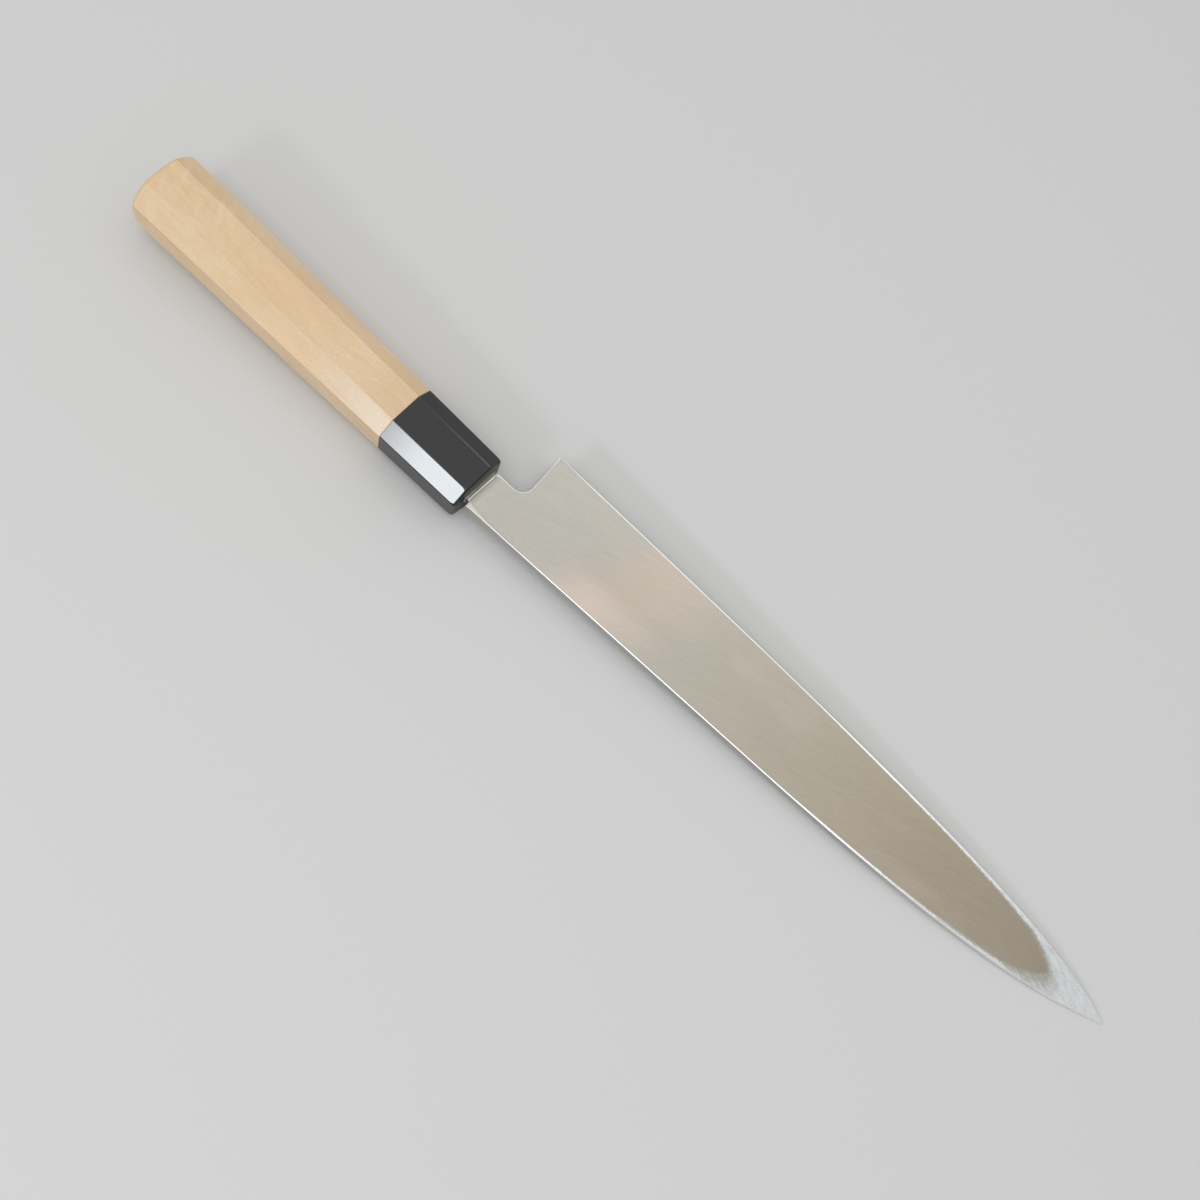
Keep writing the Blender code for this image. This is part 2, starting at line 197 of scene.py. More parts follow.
BEVEL_SHARES = (0.06, 0.35, 0.65, 0.9)
RUN_IN_COLUMNS = 26
HOLLOW_COLUMNS = 104
NOSE_COLUMNS = 22
RIM_COLUMNS = 170
LOWER_COLUMNS = 130
RIM_GRID_START = 0.150
RIM_GRID_STOP = 0.0008
LOWER_GRID_START = 0.001
LOWER_GRID_STOP = 0.0012
RIM_MARGINS = (0.0002, 0.00045)
POINT_MARGINS = (0.0002, 0.00045, 0.0009, 0.0020, 0.0034)
MARGIN_ROOM = 2.4
GRID_CLEARANCE = 0.00005
LINE_CLEARANCE = 0.00003

# Sizes that follow from those above.
HOLLOW_END = BLADE_LENGTH - HOLLOW_STOP
NOSE_START = HOLLOW_END - HOLLOW_NOSE
SPINE_STRAIGHT = BLADE_LENGTH - SPINE_CURVE_LENGTH
TIP_X = BLADE_LENGTH - TIP_BLUNT
CHOIL_FRONT = HEEL_SETBACK + CHOIL_SPARE
CHOIL_LOW = NECK_HEIGHT - 2.0 * CHOIL_SPARE
FACE_HEIGHT = SPINE_THICKNESS / 2.0
TANG_ROOT_HEIGHT = NECK_HEIGHT - SPINE_NOTCH - EDGE_NOTCH
TANG_ROOT_THICKNESS = SPINE_THICKNESS - 2.0 * TANG_STEP
TANG_ROOT_CENTRE = -SPINE_OFFSET + SPINE_NOTCH + TANG_ROOT_HEIGHT / 2.0
TENON_REACH = abs(TANG_ROOT_CENTRE) + TANG_ROOT_HEIGHT / 2.0 + TANG_CLEARANCE + TENON_EDGE
TENON_HEIGHT = TANG_ROOT_THICKNESS + 2.0 * (TANG_CLEARANCE + TENON_CHEEK)
FRONT_WIDTH = 2.0 * (TENON_REACH + TENON_FIT + HORN_SIDE_WALL)
FRONT_DEPTH = TENON_HEIGHT + 2.0 * (TENON_FIT + HORN_TOP_WALL)
HOLE_LENGTH = HANDLE_LENGTH - SOLID_BUTT
TANG_LENGTH = HOLE_LENGTH - HOLE_SPARE

notch_setback = (NECK_HEIGHT - SPINE_NOTCH) * math.tan(SHOULDER_LEAN)
back_corner = notch_setback * math.cos(BLADE_TURN) + SPINE_NOTCH * math.sin(BLADE_TURN)
blade_x = SHOULDER_GAP + max(back_corner, NECK_HEIGHT * math.sin(BLADE_TURN))
BLADE = Matrix.Translation((blade_x, -SPINE_OFFSET, FACE_HEIGHT))
BLADE = BLADE @ Matrix.Rotation(BLADE_TURN, 4, "Z")

# Slots of the blade's mesh, and millimetres in a metre, the unit of every pattern.
UPPER, EASED, LOWER, TANG = range(4)
MM = 1000.0
ZERO = (0.0, 0.0, 0.0)


def new_object(name, data):
    made = bpy.data.objects.new(name, data)
    bpy.context.scene.collection.objects.link(made)
    return made


def put_in_place(mesh, matrix):
    """Keeps each point's place along the piece, in mm, for its pattern, then moves it."""
    layer = mesh.attributes.new("place", "FLOAT_VECTOR", "POINT")
    layer.data.foreach_set("vector", (points_of(mesh) * MM).astype(np.float32).ravel())
    mesh.transform(matrix)


def to_mesh(name, points, faces, slots=None):
    mesh = bpy.data.meshes.new(name)
    mesh.from_pydata([tuple(point) for point in points], [], faces)
    if slots is not None:
        mesh.polygons.foreach_set("material_index", slots)
    mesh.validate()
    return mesh


def rings_mesh(name, rings, closed=False):
    """Skins closed rings of equal length, and joins the last to the first or caps both."""
    count = len(rings[0])
    points = [point for ring in rings for point in ring]
    faces = []
    for row in range(len(rings) if closed else len(rings) - 1):
        a = row * count
        b = (row + 1) % len(rings) * count
        for k in range(count):
            n = (k + 1) % count
            faces.append((a + k, a + n, b + n, b + k))
    if not closed:
        last = (len(rings) - 1) * count
        faces.append(tuple(range(count))[::-1])
        faces.append(tuple(range(last, last + count)))
    mesh = to_mesh(name, points, faces)
    outward(mesh)
    return mesh


def outward(mesh):
    bm = bmesh.new()
    bm.from_mesh(mesh)
    bmesh.ops.recalc_face_normals(bm, faces=bm.faces)
    bm.to_mesh(mesh)
    bm.free()


def carve(name, base, steps):
    """The base mesh after EXACT booleans with other meshes, as one applied object."""
    body = new_object(name + "_base", base)
    helpers = [body]
    for mesh, operation in steps:
        helper = new_object(mesh.name, mesh)
        helpers.append(helper)
        boolean = body.modifiers.new(mesh.name, "BOOLEAN")
        boolean.operation = operation
        boolean.solver = "EXACT"
        boolean.object = helper
    bpy.context.view_layer.update()
    graph = bpy.context.evaluated_depsgraph_get()
    result = bpy.data.meshes.new_from_object(body.evaluated_get(graph))
    for helper in helpers:
        bpy.data.objects.remove(helper, do_unlink=True)
    result.name = name
    return new_object(name, result)


def smooth(piece, degrees):
    piece.data.shade_smooth()
    piece.data.set_sharp_from_angle(angle=math.radians(degrees))


def write_attributes(mesh, **attributes):
    for name, values in attributes.items():
        layer = mesh.attributes.new(name, "FLOAT", "POINT")
        layer.data.foreach_set("value", np.asarray(values, np.float32))


def points_of(mesh):
    flat = np.zeros(len(mesh.vertices) * 3, np.float32)
    mesh.vertices.foreach_get("co", flat)
    return flat.reshape(-1, 3).astype(float)


def polar(length, angle):
    return Vector((length * math.cos(angle), length * math.sin(angle), 0.0))


def quarter(steps):
    """For each step of a quarter turn, 1 less its sine and 1 less its cosine."""
    angles = [math.pi / 2.0 * k / steps for k in range(steps + 1)]
    return [(1.0 - math.sin(angle), 1.0 - math.cos(angle)) for angle in angles]


def ramp(value):
    value = min(max(value, 0.0), 1.0)
    return value * value * (3.0 - 2.0 * value)


# Blade: two Bezier curves that meet at the tip, and the forms that follow them.
tip = Vector((BLADE_LENGTH, TIP_DROP, 0.0))
heel = Vector((HEEL_SETBACK, HEEL_HEIGHT, 0.0))
spine_start = Vector((SPINE_STRAIGHT, 0.0, 0.0))
spine_curve = interpolate_bezier(
    spine_start,
    spine_start + polar(SPINE_PULL * SPINE_CURVE_LENGTH, 0.0),
    tip - polar(SPINE_TIP_PULL * SPINE_CURVE_LENGTH, SPINE_TIP_ANGLE),
    tip,
    CURVE_POINTS,
)
edge_length = BLADE_LENGTH - HEEL_SETBACK
edge_curve = interpolate_bezier(
    heel,
    heel + polar(EDGE_PULL * edge_length, -EDGE_HEEL_ANGLE),
    tip - polar(EDGE_TIP_PULL * edge_length, -EDGE_TIP_ANGLE),
    tip,
    CURVE_POINTS,
)
spine_xy = np.array([(point.x, point.y) for point in spine_curve])
edge_xy = np.array([(point.x, point.y) for point in edge_curve])


def spine_at(x):
    return float(np.interp(x, spine_xy[:, 0], spine_xy[:, 1]))


def edge_at(x):
    if x <= HEEL_SETBACK:
        return HEEL_HEIGHT + (HEEL_SETBACK - x) * math.tan(EDGE_HEEL_ANGLE)
    return float(np.interp(x, edge_xy[:, 0], edge_xy[:, 1]))


def thickness_at(x):
    along = min(max(x, 0.0), BLADE_LENGTH) / BLADE_LENGTH
    fall = (1.0 - along ** THICKNESS_FALL) ** THICKNESS_FULLNESS
    return TIP_THICKNESS + (SPINE_THICKNESS - TIP_THICKNESS) * fall


def hollow_at(x):
    """Low side, high side and depth of the hollow ground in the upper face."""
    low_edge = spine_at(x)
    high_edge = edge_at(x)
    forward = ramp((x - FORWARD_RIM_START) / FORWARD_RIM_RUN)
    spread = min(max(1.0 + (x - NOSE_START) / NOSE_RIM_RUN, 0.0), 1.0) ** NOSE_RIM_POWER
    wider = (NOSE_RIM - FORWARD_RIM) * spread
    flare = NECK_RIM * math.exp(-max(x, 0.0) / NECK_RIM_FADE)
    low = low_edge + flare + SPINE_RIM + (FORWARD_RIM - SPINE_RIM) * forward + wider
    high = high_edge - EDGE_RIM - (FORWARD_RIM - EDGE_RIM) * forward - wider
    middle = (low + high) / 2.0
    half = (high - low) / 2.0
    past = (x - NOSE_START) / HOLLOW_NOSE
    if past >= 1.0:
        return middle, middle, 0.0
    if past > 0.0:
        half = half * (1.0 - past ** NOSE_SHARPNESS) ** NOSE_ROUNDNESS
    depth = half * half / (2.0 * HOLLOW_RADIUS)
    depth = depth * ramp((x - HOLLOW_START) / HOLLOW_RUN_IN)
    if past > 0.0:
        depth = depth * (1.0 - past)
    return middle - half, middle + half, depth


def along_hollow(x, y):
    """x as the hollow counts it: its start is parallel to the leaning shoulder."""
    lean = (y - NECK_HEIGHT) * math.tan(SHOULDER_LEAN)
    return x - lean * (1.0 - ramp((x - HOLLOW_LEAN_START) / HOLLOW_LEAN_RUN))


def upper_face(x, y):
    low, high, depth = hollow_at(along_hollow(x, y))
    if depth <= 0.0 or not low < y < high:
        return 0.0
    across = 2.0 * (y - low) / (high - low) - 1.0
    return -depth * (1.0 - across * across)


def shinogi_at(x):
    low_edge = spine_at(x)
    high_edge = edge_at(x)
    heel_share = BEVEL_HEIGHT / HEEL_HEIGHT
    share = heel_share + (BEVEL_TIP_SHARE - heel_share) * max(x, 0.0) / BLADE_LENGTH
    return high_edge - share * (high_edge - low_edge)


def lower_face(x, y):
    thick = thickness_at(x)
    low_edge = spine_at(x)
    high_edge = edge_at(x)
    ridge = shinogi_at(x)
    if y <= ridge:
        share = max(y - low_edge, 0.0) / (ridge - low_edge)
        return -thick * (1.0 + (SHINOGI_RATIO - 1.0) * share)
    share = min((y - ridge) / (high_edge - ridge), 1.0)
    return -(thick * SHINOGI_RATIO * (1.0 - share) + EDGE_LAND * share)


def spine_rows():
    """The spine's side of the outline: x, y and how far its edges are eased."""
    xs = list(np.linspace(0.0, SPINE_STRAIGHT, STRAIGHT_POINTS)[:-1])
    xs += [x for x in spine_xy[:, 0] if x < TIP_X - LEAST_STEP] + [TIP_X]
    rows = []
    for x in xs:
        of_height = SOFT_HEIGHT_SHARE * (edge_at(x) - spine_at(x))
        of_thickness = SOFT_THICKNESS_SHARE * thickness_at(x)
        rows.append((x, spine_at(x), min(SPINE_SOFT, of_height, of_thickness)))
    return rows


def edge_rows():
    """The edge, from the tip back to the heel, and the heel's drop toward the choil."""
    lean = math.tan(CHOIL_LEAN)
    heel_x = HEEL_SETBACK - (HEEL_HEIGHT - NECK_HEIGHT) * lean
    xs = [x for x in edge_xy[:, 0] if heel_x + HEEL_STEP < x < TIP_X - LEAST_STEP]
    rows = [(x, edge_at(x), EDGE_SOFT) for x in (TIP_X, *xs[::-1], heel_x)]
    for below in HEEL_MARKS:
        y = HEEL_HEIGHT - below
        x = HEEL_SETBACK - (y - NECK_HEIGHT) * lean
        rows.append((x, y, max(NECK_SOFT * ramp(below / HEEL_FADE), EDGE_SOFT)))
    return rows


def neck_rows():
    """The choil's arc, the neck's side, the leaning shoulder and the spine's notch."""
    turn = Matrix.Rotation(CHOIL_LEAN, 2)
    corner = Vector((HEEL_SETBACK, NECK_HEIGHT))
    rows = []
    for up, back in quarter(CHOIL_STEPS):
        point = corner + turn @ (Vector((-back, up)) * CHOIL_RADIUS)
        rows.append((point.x, point.y, NECK_SOFT))
    start_x = rows[-1][0]
    for k in range(1, NECK_STEPS + 1):
        x = start_x * (1.0 - k / NECK_STEPS)
        rows.append((x, NECK_HEIGHT - (HEEL_SETBACK - x) * math.tan(CHOIL_LEAN), NECK_SOFT))
    top_y = rows[-1][1]
    for k in range(1, SHOULDER_STEPS + 1):
        y = top_y + (SPINE_NOTCH - top_y) * k / SHOULDER_STEPS
        rows.append(((y - top_y) * math.tan(SHOULDER_LEAN), y, SHOULDER_SOFT))
    for share in (0.35, 0.7, 1.0):
        rows.append((rows[-1][0] * (1.0 - share), SPINE_NOTCH, SHOULDER_SOFT))
    for share in (0.75, 0.5, 0.25):
        rows.append((0.0, SPINE_NOTCH * share, SHOULDER_SOFT))
    return rows


def inset(outline, amounts):
    """The outline moved inward by an amount at each point, mitred at its corners."""
    before = outline - np.roll(outline, 1, axis=0)
    after = np.roll(outline, -1, axis=0) - outline
    before /= np.linalg.norm(before, axis=1)[:, None]
    after /= np.linalg.norm(after, axis=1)[:, None]
    left_before = np.stack([-before[:, 1], before[:, 0]], axis=1)
    left_after = np.stack([-after[:, 1], after[:, 0]], axis=1)
    total = left_before + left_after
    share = 1.0 + np.sum(left_before * left_after, axis=1)
    mitre = total / np.maximum(share, 0.5)[:, None]
    return outline + mitre * amounts[:, None]


def inside(points, loop):
    """Which points lie in a closed loop, by counting the sides crossed."""
    found = np.zeros(len(points), bool)
    ends = np.roll(loop, -1, axis=0)
    for (ax, ay), (bx, by) in zip(loop, ends):
        if ay == by:
            continue
        crosses = (points[:, 1] < ay) != (points[:, 1] < by)
        at = ax + (points[:, 1] - ay) * (bx - ax) / (by - ay)
        found ^= crosses & (points[:, 0] < at)
    return found


def distance_to(points, chain, closed=True):
    """How far each point is from a chain of straight lines."""
    ends = np.roll(chain, -1, axis=0) if closed else chain[1:]
    starts = chain if closed else chain[:-1]
    best = np.full(len(points), np.inf)
    for a, b in zip(starts, ends):
        step = b - a
        share = (points - a) @ step / max(step @ step, 1e-18)
        near = a + np.clip(share, 0.0, 1.0)[:, None] * step
        best = np.minimum(best, np.linalg.norm(points - near, axis=1))
    return best


def fill(loop, extra, chains):
    """Triangles over a closed loop through extra points; loop points keep their numbers."""
    clear = inside(extra, loop) & (distance_to(extra, loop) > GRID_CLEARANCE)
    kept = [*loop, *extra[clear]]
    lines = [(k, (k + 1) % len(loop)) for k in range(len(loop))]
    for chain in chains:
        chain = chain[inside(chain, loop) & (distance_to(chain, loop) > LINE_CLEARANCE)]
        first = len(kept)
        kept.extend(chain)
        lines.extend((first + k, first + k + 1) for k in range(len(chain) - 1))
    flat = [Vector(point) * MM for point in kept]
    found = delaunay_2d_cdt(flat, lines, [list(range(len(loop)))], 1, 1e-5)
    points = [point / MM for point in found[0]]
    number = {}
    for k, sources in enumerate(found[3]):
        for source in sources:
            number[source] = k
    return points, found[2], [number[k] for k in range(len(loop))]


def hollow_grid():
    """Points over the hollow, closer together at its rims and its ends."""
    shares = [*[-share for share in HOLLOW_SHARES], 0.0, *HOLLOW_SHARES[::-1]]
    run_end = HOLLOW_START + HOLLOW_RUN_IN
    xs = np.concatenate((
        np.linspace(-0.0004, run_end + 0.001, RUN_IN_COLUMNS),
        np.linspace(run_end + 0.0025, NOSE_START - 0.001, HOLLOW_COLUMNS),
        NOSE_START + HOLLOW_NOSE * (1.0 - (1.0 - np.linspace(0.0, 0.985, NOSE_COLUMNS)) ** 2),
    ))
    found = []
    for x in xs:
        low, high = hollow_at(x)[:2]
        middle = (low + high) / 2.0
        half = (high - low) / 2.0
        found.extend((x, middle + share * half) for share in shares)
    return found, xs[xs > HOLLOW_START]


def rim_grid():
    """Points over the rims toward the tip, and over the flat point."""
    found = []
    for x in np.linspace(RIM_GRID_START, BLADE_LENGTH - RIM_GRID_STOP, RIM_COLUMNS):
        low, high = spine_at(x), edge_at(x)
        for margin in POINT_MARGINS if x > HOLLOW_END else RIM_MARGINS:
            if MARGIN_ROOM * margin < high - low:
                found.extend(((x, low + margin), (x, high - margin)))
    return found


def hollow_border(xs):
    """The hollow's border: along its low side, round its nose and back along its high side."""
    sides = [hollow_at(x)[:2] for x in xs]
    low_line = [(x, low) for x, (low, high) in zip(xs, sides)]
    high_line = [(x, high) for x, (low, high) in zip(xs, sides)]
    end = (HOLLOW_END, (spine_at(HOLLOW_END) + edge_at(HOLLOW_END)) / 2.0)
    return np.array([*low_line, end, *high_line[::-1]])


def lower_grid():
    found = []
    ridge_line = []
    for x in np.linspace(LOWER_GRID_START, BLADE_LENGTH - LOWER_GRID_STOP, LOWER_COLUMNS):
        low, high, ridge = spine_at(x), edge_at(x), shinogi_at(x)
        found.extend((x, low + (ridge - low) * share) for share in FLAT_SHARES)
        found.extend((x, ridge + (high - ridge) * share) for share in BEVEL_SHARES)
        ridge_line.append((x, ridge))
    return np.array(found), np.array(ridge_line)


def blade_body(outline, soft, grid, border):
    """The blade without its tang: two filled faces and the eased edges between them."""
    count = len(outline)
    half = len(border) // 2 + 1
    ring = inset(outline, soft)
    flat, faces, rim = fill(ring, grid, [border[:half], border[half - 1:]])
    points = [(x, y, upper_face(x, y)) for x, y in flat]
    faces = [tuple(face) for face in faces]
    slots = [UPPER] * len(faces)
    rings = [rim]

    def add_ring(amounts, heights):
        first = len(points)
        for (x, y), height in zip(inset(outline, amounts), heights):
            points.append((x, y, height))
        rings.append(list(range(first, first + count)))

    easing = quarter(SOFT_STEPS)[1:]
    upper = np.array([upper_face(x, y) for x, y in ring])
    for inward, away in easing:
        add_ring(soft * inward, upper - soft * away)
    lower = np.array([lower_face(x, y) for x, y in ring])
    below = np.minimum(soft, SOFT_SIDE_SHARE * np.maximum(upper - lower, 0.0))
    for inward, away in easing[::-1]:
        add_ring(below * inward, lower + below * away)
    low_grid, ridge_line = lower_grid()
    under, under_faces, under_rim = fill(inset(outline, below), low_grid, [ridge_line])
    first = len(points)
    points.extend((x, y, lower_face(x, y)) for x, y in under)
    rings.append([first + k for k in under_rim])
    for upper_ring, lower_ring in zip(rings, rings[1:]):
        for k in range(count):
            n = (k + 1) % count
            faces.append((upper_ring[k], lower_ring[k], lower_ring[n], upper_ring[n]))
            slots.append(EASED)
    for face in under_faces:
        faces.append(tuple(first + k for k in face)[::-1])
        slots.append(LOWER)
    body = to_mesh("blade_body", points, faces, slots)
    outward(body)
    return body


def tang_body():
    """The tang, along the handle's axis, in the blade's own axes."""
    to_blade = BLADE.inverted()
    rings = []
    for x in np.linspace(-TANG_LENGTH, blade_x + HOLLOW_START, TANG_RINGS):
        ring = rounded(tang_corners(x, 0.0), TANG_ROUND)
        rings.append([to_blade @ Vector((x, y, z)) for y, z in ring])
    tang = rings_mesh("tang_body", rings)
    tang.polygons.foreach_set("material_index", [TANG] * len(tang.polygons))
    return tang


def mark_blade(mesh, outline, border):
    """Gives each point the distances, in mm, that the steel's patterns follow."""
    at = points_of(mesh)
    seen = at[:, :2].copy()
    seen[:, 0] = [along_hollow(x, y) for x, y in seen]
    sign = np.where(inside(seen, border), 1.0, -1.0)
    ridge = np.array([shinogi_at(x) for x in at[:, 0]])
    write_attributes(
        mesh,
        grind=sign * distance_to(seen, border) * MM,
        bevel=(at[:, 1] - ridge) * MM,
        start=(seen[:, 0] - HOLLOW_START) * MM,
        rim=distance_to(at[:, :2], outline) * MM,
        choil=[x < CHOIL_FRONT and y > CHOIL_LOW for x, y in at[:, :2]],
    )


def build_blade():
    rows = np.array([*spine_rows(), *edge_rows(), *neck_rows()])
    outline = rows[:, :2]
    grid, border_xs = hollow_grid()
    border = hollow_border(border_xs)
    body = blade_body(outline, rows[:, 2], np.array([*grid, *rim_grid()]), border)
    tang = tang_body()
    for mesh in (body, tang):
        for surface in (hollow_face, edges, bevel_face, forged):
            mesh.materials.append(surface)
    made = carve("blade_fine", body, [(tang, "UNION")])
    smooth(made, BLADE_CREASE)
    mark_blade(made.data, outline, border)
    put_in_place(made.data, ROOT @ BLADE)
    return made


# Handle and ferrule: one tapering octagon, its corners softened.
def octagon(x, inset_by=0.0):
    back = -x / HANDLE_LENGTH
    y = (FRONT_WIDTH + (BUTT_WIDTH - FRONT_WIDTH) * back) / 2.0
    z = (FRONT_DEPTH + (BUTT_DEPTH - FRONT_DEPTH) * back) / 2.0
    side = FRONT_CHAMFER[0] + (BUTT_CHAMFER[0] - FRONT_CHAMFER[0]) * back
    top = FRONT_CHAMFER[1] + (BUTT_CHAMFER[1] - FRONT_CHAMFER[1]) * back
    length = math.hypot(side, top)
    reach = (top * y + side * (z - top)) / length - inset_by
    y -= inset_by
    z -= inset_by
    low = (reach * length - top * y) / side
    near = (reach * length - side * z) / top
    return [
        (y, low), (near, z), (-near, z), (-y, low),
        (-y, -low), (-near, -z), (near, -z), (y, -low),
    ]


def rounded(corners, radius, steps=3, marks=()):
    """A closed ring with arcs at its corners, and points at set distances beside them."""
    found = []
    corners = [Vector(corner) for corner in corners]
    for k, corner in enumerate(corners):
        before = corners[k - 1] - corner
        after = corners[(k + 1) % len(corners)] - corner
        angle = before.angle(after)
        cut = radius / math.tan(angle / 2.0)
        start = corner + before.normalized() * cut
        end = corner + after.normalized() * cut
        for n in range(steps + 1):
            t = n / steps
            found.append(start.lerp(corner, t).lerp(corner.lerp(end, t), t))
        room = after.length - 2.0 * cut
        for mark in marks:
            found.append(end + after.normalized() * min(mark, MARK_SHARE * room))
        if marks:
            found.append(end + after.normalized() * room / 2.0)
        for mark in reversed(marks):
            found.append(end + after.normalized() * (room - min(mark, MARK_SHARE * room)))
    return found


def ring_at(x, radius, inset_by=0.0):
    ring = rounded(octagon(x, inset_by), radius, RING_STEPS, RING_MARKS)
    return [Vector((x, *point)) for point in ring]


def sag_at(y, z):
    """How far the butt's dome falls back from its middle."""
    return (y * y + z * z) / (2.0 * BUTT_DOME_RADIUS)


def facets_distance(at, end_x, domed):
    """Millimetres from each point to the octagon's nearest ridge or to the rim at end_x."""
    found = []
    for x, y, z in at:
        corners = octagon(min(max(x, -HANDLE_LENGTH), 0.0))
        ridge = min(math.hypot(y - a, z - b) for a, b in corners)
        sides = []
        for (ay, az), (by, bz) in zip(corners, corners[1:] + corners[:1]):
            length = math.hypot(by - ay, bz - az)
            sides.append(abs((y - ay) * (bz - az) - (z - az) * (by - ay)) / length)
        rim = math.hypot(min(sides), x - end_x - (sag_at(y, z) if domed else 0.0))
        found.append(min(ridge, rim) * MM)
    return found


def tang_corners(x, grow):
    back = -x / TANG_LENGTH
    half = (TANG_ROOT_HEIGHT + (TANG_END_HEIGHT - TANG_ROOT_HEIGHT) * back) / 2.0 + grow
    thick = TANG_ROOT_THICKNESS + (TANG_END_THICKNESS - TANG_ROOT_THICKNESS) * back
    centre = TANG_ROOT_CENTRE * (1.0 - back)
    deep = thick / 2.0 + grow
    return [(centre + half * a, deep * b) for a, b in ((1, 1), (-1, 1), (-1, -1), (1, -1))]


def tang_prism(name, x_front, x_back, grow, radius):
    rings = []
    for x in (x_back, x_front):
        rings.append([Vector((x, *point)) for point in rounded(tang_corners(x, grow), radius)])
    return rings_mesh(name, rings)


def tenon_prism(name, x_front, x_back, grow):
    y, z = TENON_REACH + grow, TENON_HEIGHT / 2.0 + grow
    radius = min(TENON_ROUND, TENON_ROUND_SHARE * TENON_HEIGHT) + grow
    ring = rounded([(y, z), (-y, z), (-y, -z), (y, -z)], radius, TENON_STEPS)
    return rings_mesh(name, [[Vector((x, *point)) for point in ring] for x in (x_back, x_front)])


def corner_at(depth):
    """Radius of the octagon's corners, which open into rounder ones at the butt."""
    return FACET_SOFT + BUTT_CORNER * max(1.0 - depth / BUTT_CORNER_RUN, 0.0) ** 2


def domed(ring, share, depth, fade=1.0):
    """A ring of the butt, drawn in by a share, set at a depth and bent to the dome."""
    bent = []
    for point in ring:
        y, z = point.y * share, point.z * share
        bent.append(Vector((sag_at(y, z) * fade + depth - HANDLE_LENGTH, y, z)))
    return bent


def butt_rings():
    """The dome from its middle out, its rounded rim, and the facets where it fades."""
    middle = ring_at(-HANDLE_LENGTH, corner_at(0.0), BUTT_ROUND + BUTT_TRIM)
    rings = [domed(middle, share, 0.0) for share in DOME_SHARES]
    for inward, away in quarter(BUTT_STEPS):
        depth = BUTT_ROUND * away
        inset_by = BUTT_ROUND * inward + BUTT_TRIM
        rings.append(domed(ring_at(-HANDLE_LENGTH, corner_at(depth), inset_by), 1.0, depth))
    for depth in DOME_FADE_DEPTHS:
        ring = ring_at(depth - HANDLE_LENGTH, corner_at(depth), BUTT_TRIM)
        rings.append(domed(ring, 1.0, depth, 1.0 - (depth - BUTT_ROUND) / DOME_FADE))
    return rings


def build_handle():
    back = BUTT_ROUND + DOME_FADE - HANDLE_LENGTH
    front = -FERRULE_LENGTH - GLUE_LINE
    rings = butt_rings()
    xs = [*np.linspace(back, front - JOINT_MARKS[0], HANDLE_RINGS)]
    for x in xs + [front - mark for mark in JOINT_MARKS[1:]]:
        rings.append(ring_at(x, corner_at(x + HANDLE_LENGTH)))
    rings.append(ring_at(front, FACET_SOFT, JOINT_EASE))
    outer = rings_mesh("handle_outer", rings)
    tenon_front = -(HORN_FRONT_WALL + TENON_END_GAP)
    hole_front = tenon_front + CUT_OVERRUN
    tenon = tenon_prism("tenon", tenon_front, -FERRULE_LENGTH - CUT_OVERRUN, 0.0)
    hole = tang_prism("hole", hole_front, -HOLE_LENGTH, TANG_CLEARANCE, HOLE_ROUND)
    for mesh in (outer, tenon, hole):
        mesh.materials.append(magnolia)
    made = carve("handle_fine", outer, [(tenon, "UNION"), (hole, "DIFFERENCE")])
    smooth(made, HANDLE_CREASE)
    at = points_of(made.data)
    depth = at[:, 0] + HANDLE_LENGTH - sag_at(at[:, 1], at[:, 2])
    write_attributes(
        made.data,
        ridge=facets_distance(at, -HANDLE_LENGTH, True),
        end_grain=np.clip(1.0 - depth / (END_GRAIN_SHARE * BUTT_ROUND), 0.0, 1.0),
    )
    put_in_place(made.data, ROOT)
    return made


def mouth_corner_at(depth):
    """Radius of the horn's corners, which open a little at the mouth."""
    return HORN_SOFT + MOUTH_CORNER * max(1.0 - depth / MOUTH_CORNER_RUN, 0.0) ** 2


def build_ferrule():
    back = -FERRULE_LENGTH
    rings = [ring_at(back, HORN_SOFT, JOINT_EASE), ring_at(back + JOINT_EASE, HORN_SOFT)]
    for x in np.linspace(back + HORN_MARK, -MOUTH_ROLL, HORN_RINGS):
        rings.append(ring_at(x, HORN_SOFT))
    for x in np.linspace(-MOUTH_ROLL, -MOUTH_ROUND, HORN_RINGS)[1:]:
        roll = MOUTH_ROLL_DEPTH * ((x + MOUTH_ROLL) / (MOUTH_ROLL - MOUTH_ROUND)) ** 2
        rings.append(ring_at(x, mouth_corner_at(-x), roll))
    for short, inward in quarter(MOUTH_STEPS)[1:]:
        x = -MOUTH_ROUND * short
        inset_by = MOUTH_ROLL_DEPTH + MOUTH_ROUND * inward
        ring = ring_at(-MOUTH_ROUND, mouth_corner_at(-x), inset_by)
        rings.append([Vector((x, point.y, point.z)) for point in ring])
    outer = rings_mesh("ferrule_outer", rings)
    bore = tenon_prism("bore", -HORN_FRONT_WALL, back - CUT_OVERRUN, TENON_FIT)
    grow = SEAL_FIT + SEAL_WALL + SEAL_FIT
    slot = tang_prism("slot", CUT_OVERRUN, -(HORN_FRONT_WALL + CUT_OVERRUN), grow, SLOT_ROUND)
    for mesh in (outer, bore, slot):
        mesh.materials.append(horn)
    made = carve("ferrule_fine", outer, [(bore, "DIFFERENCE"), (slot, "DIFFERENCE")])
    smooth(made, HANDLE_CREASE)
    write_attributes(made.data, ridge=facets_distance(points_of(made.data), 0.0, False))
    put_in_place(made.data, ROOT)
    return made


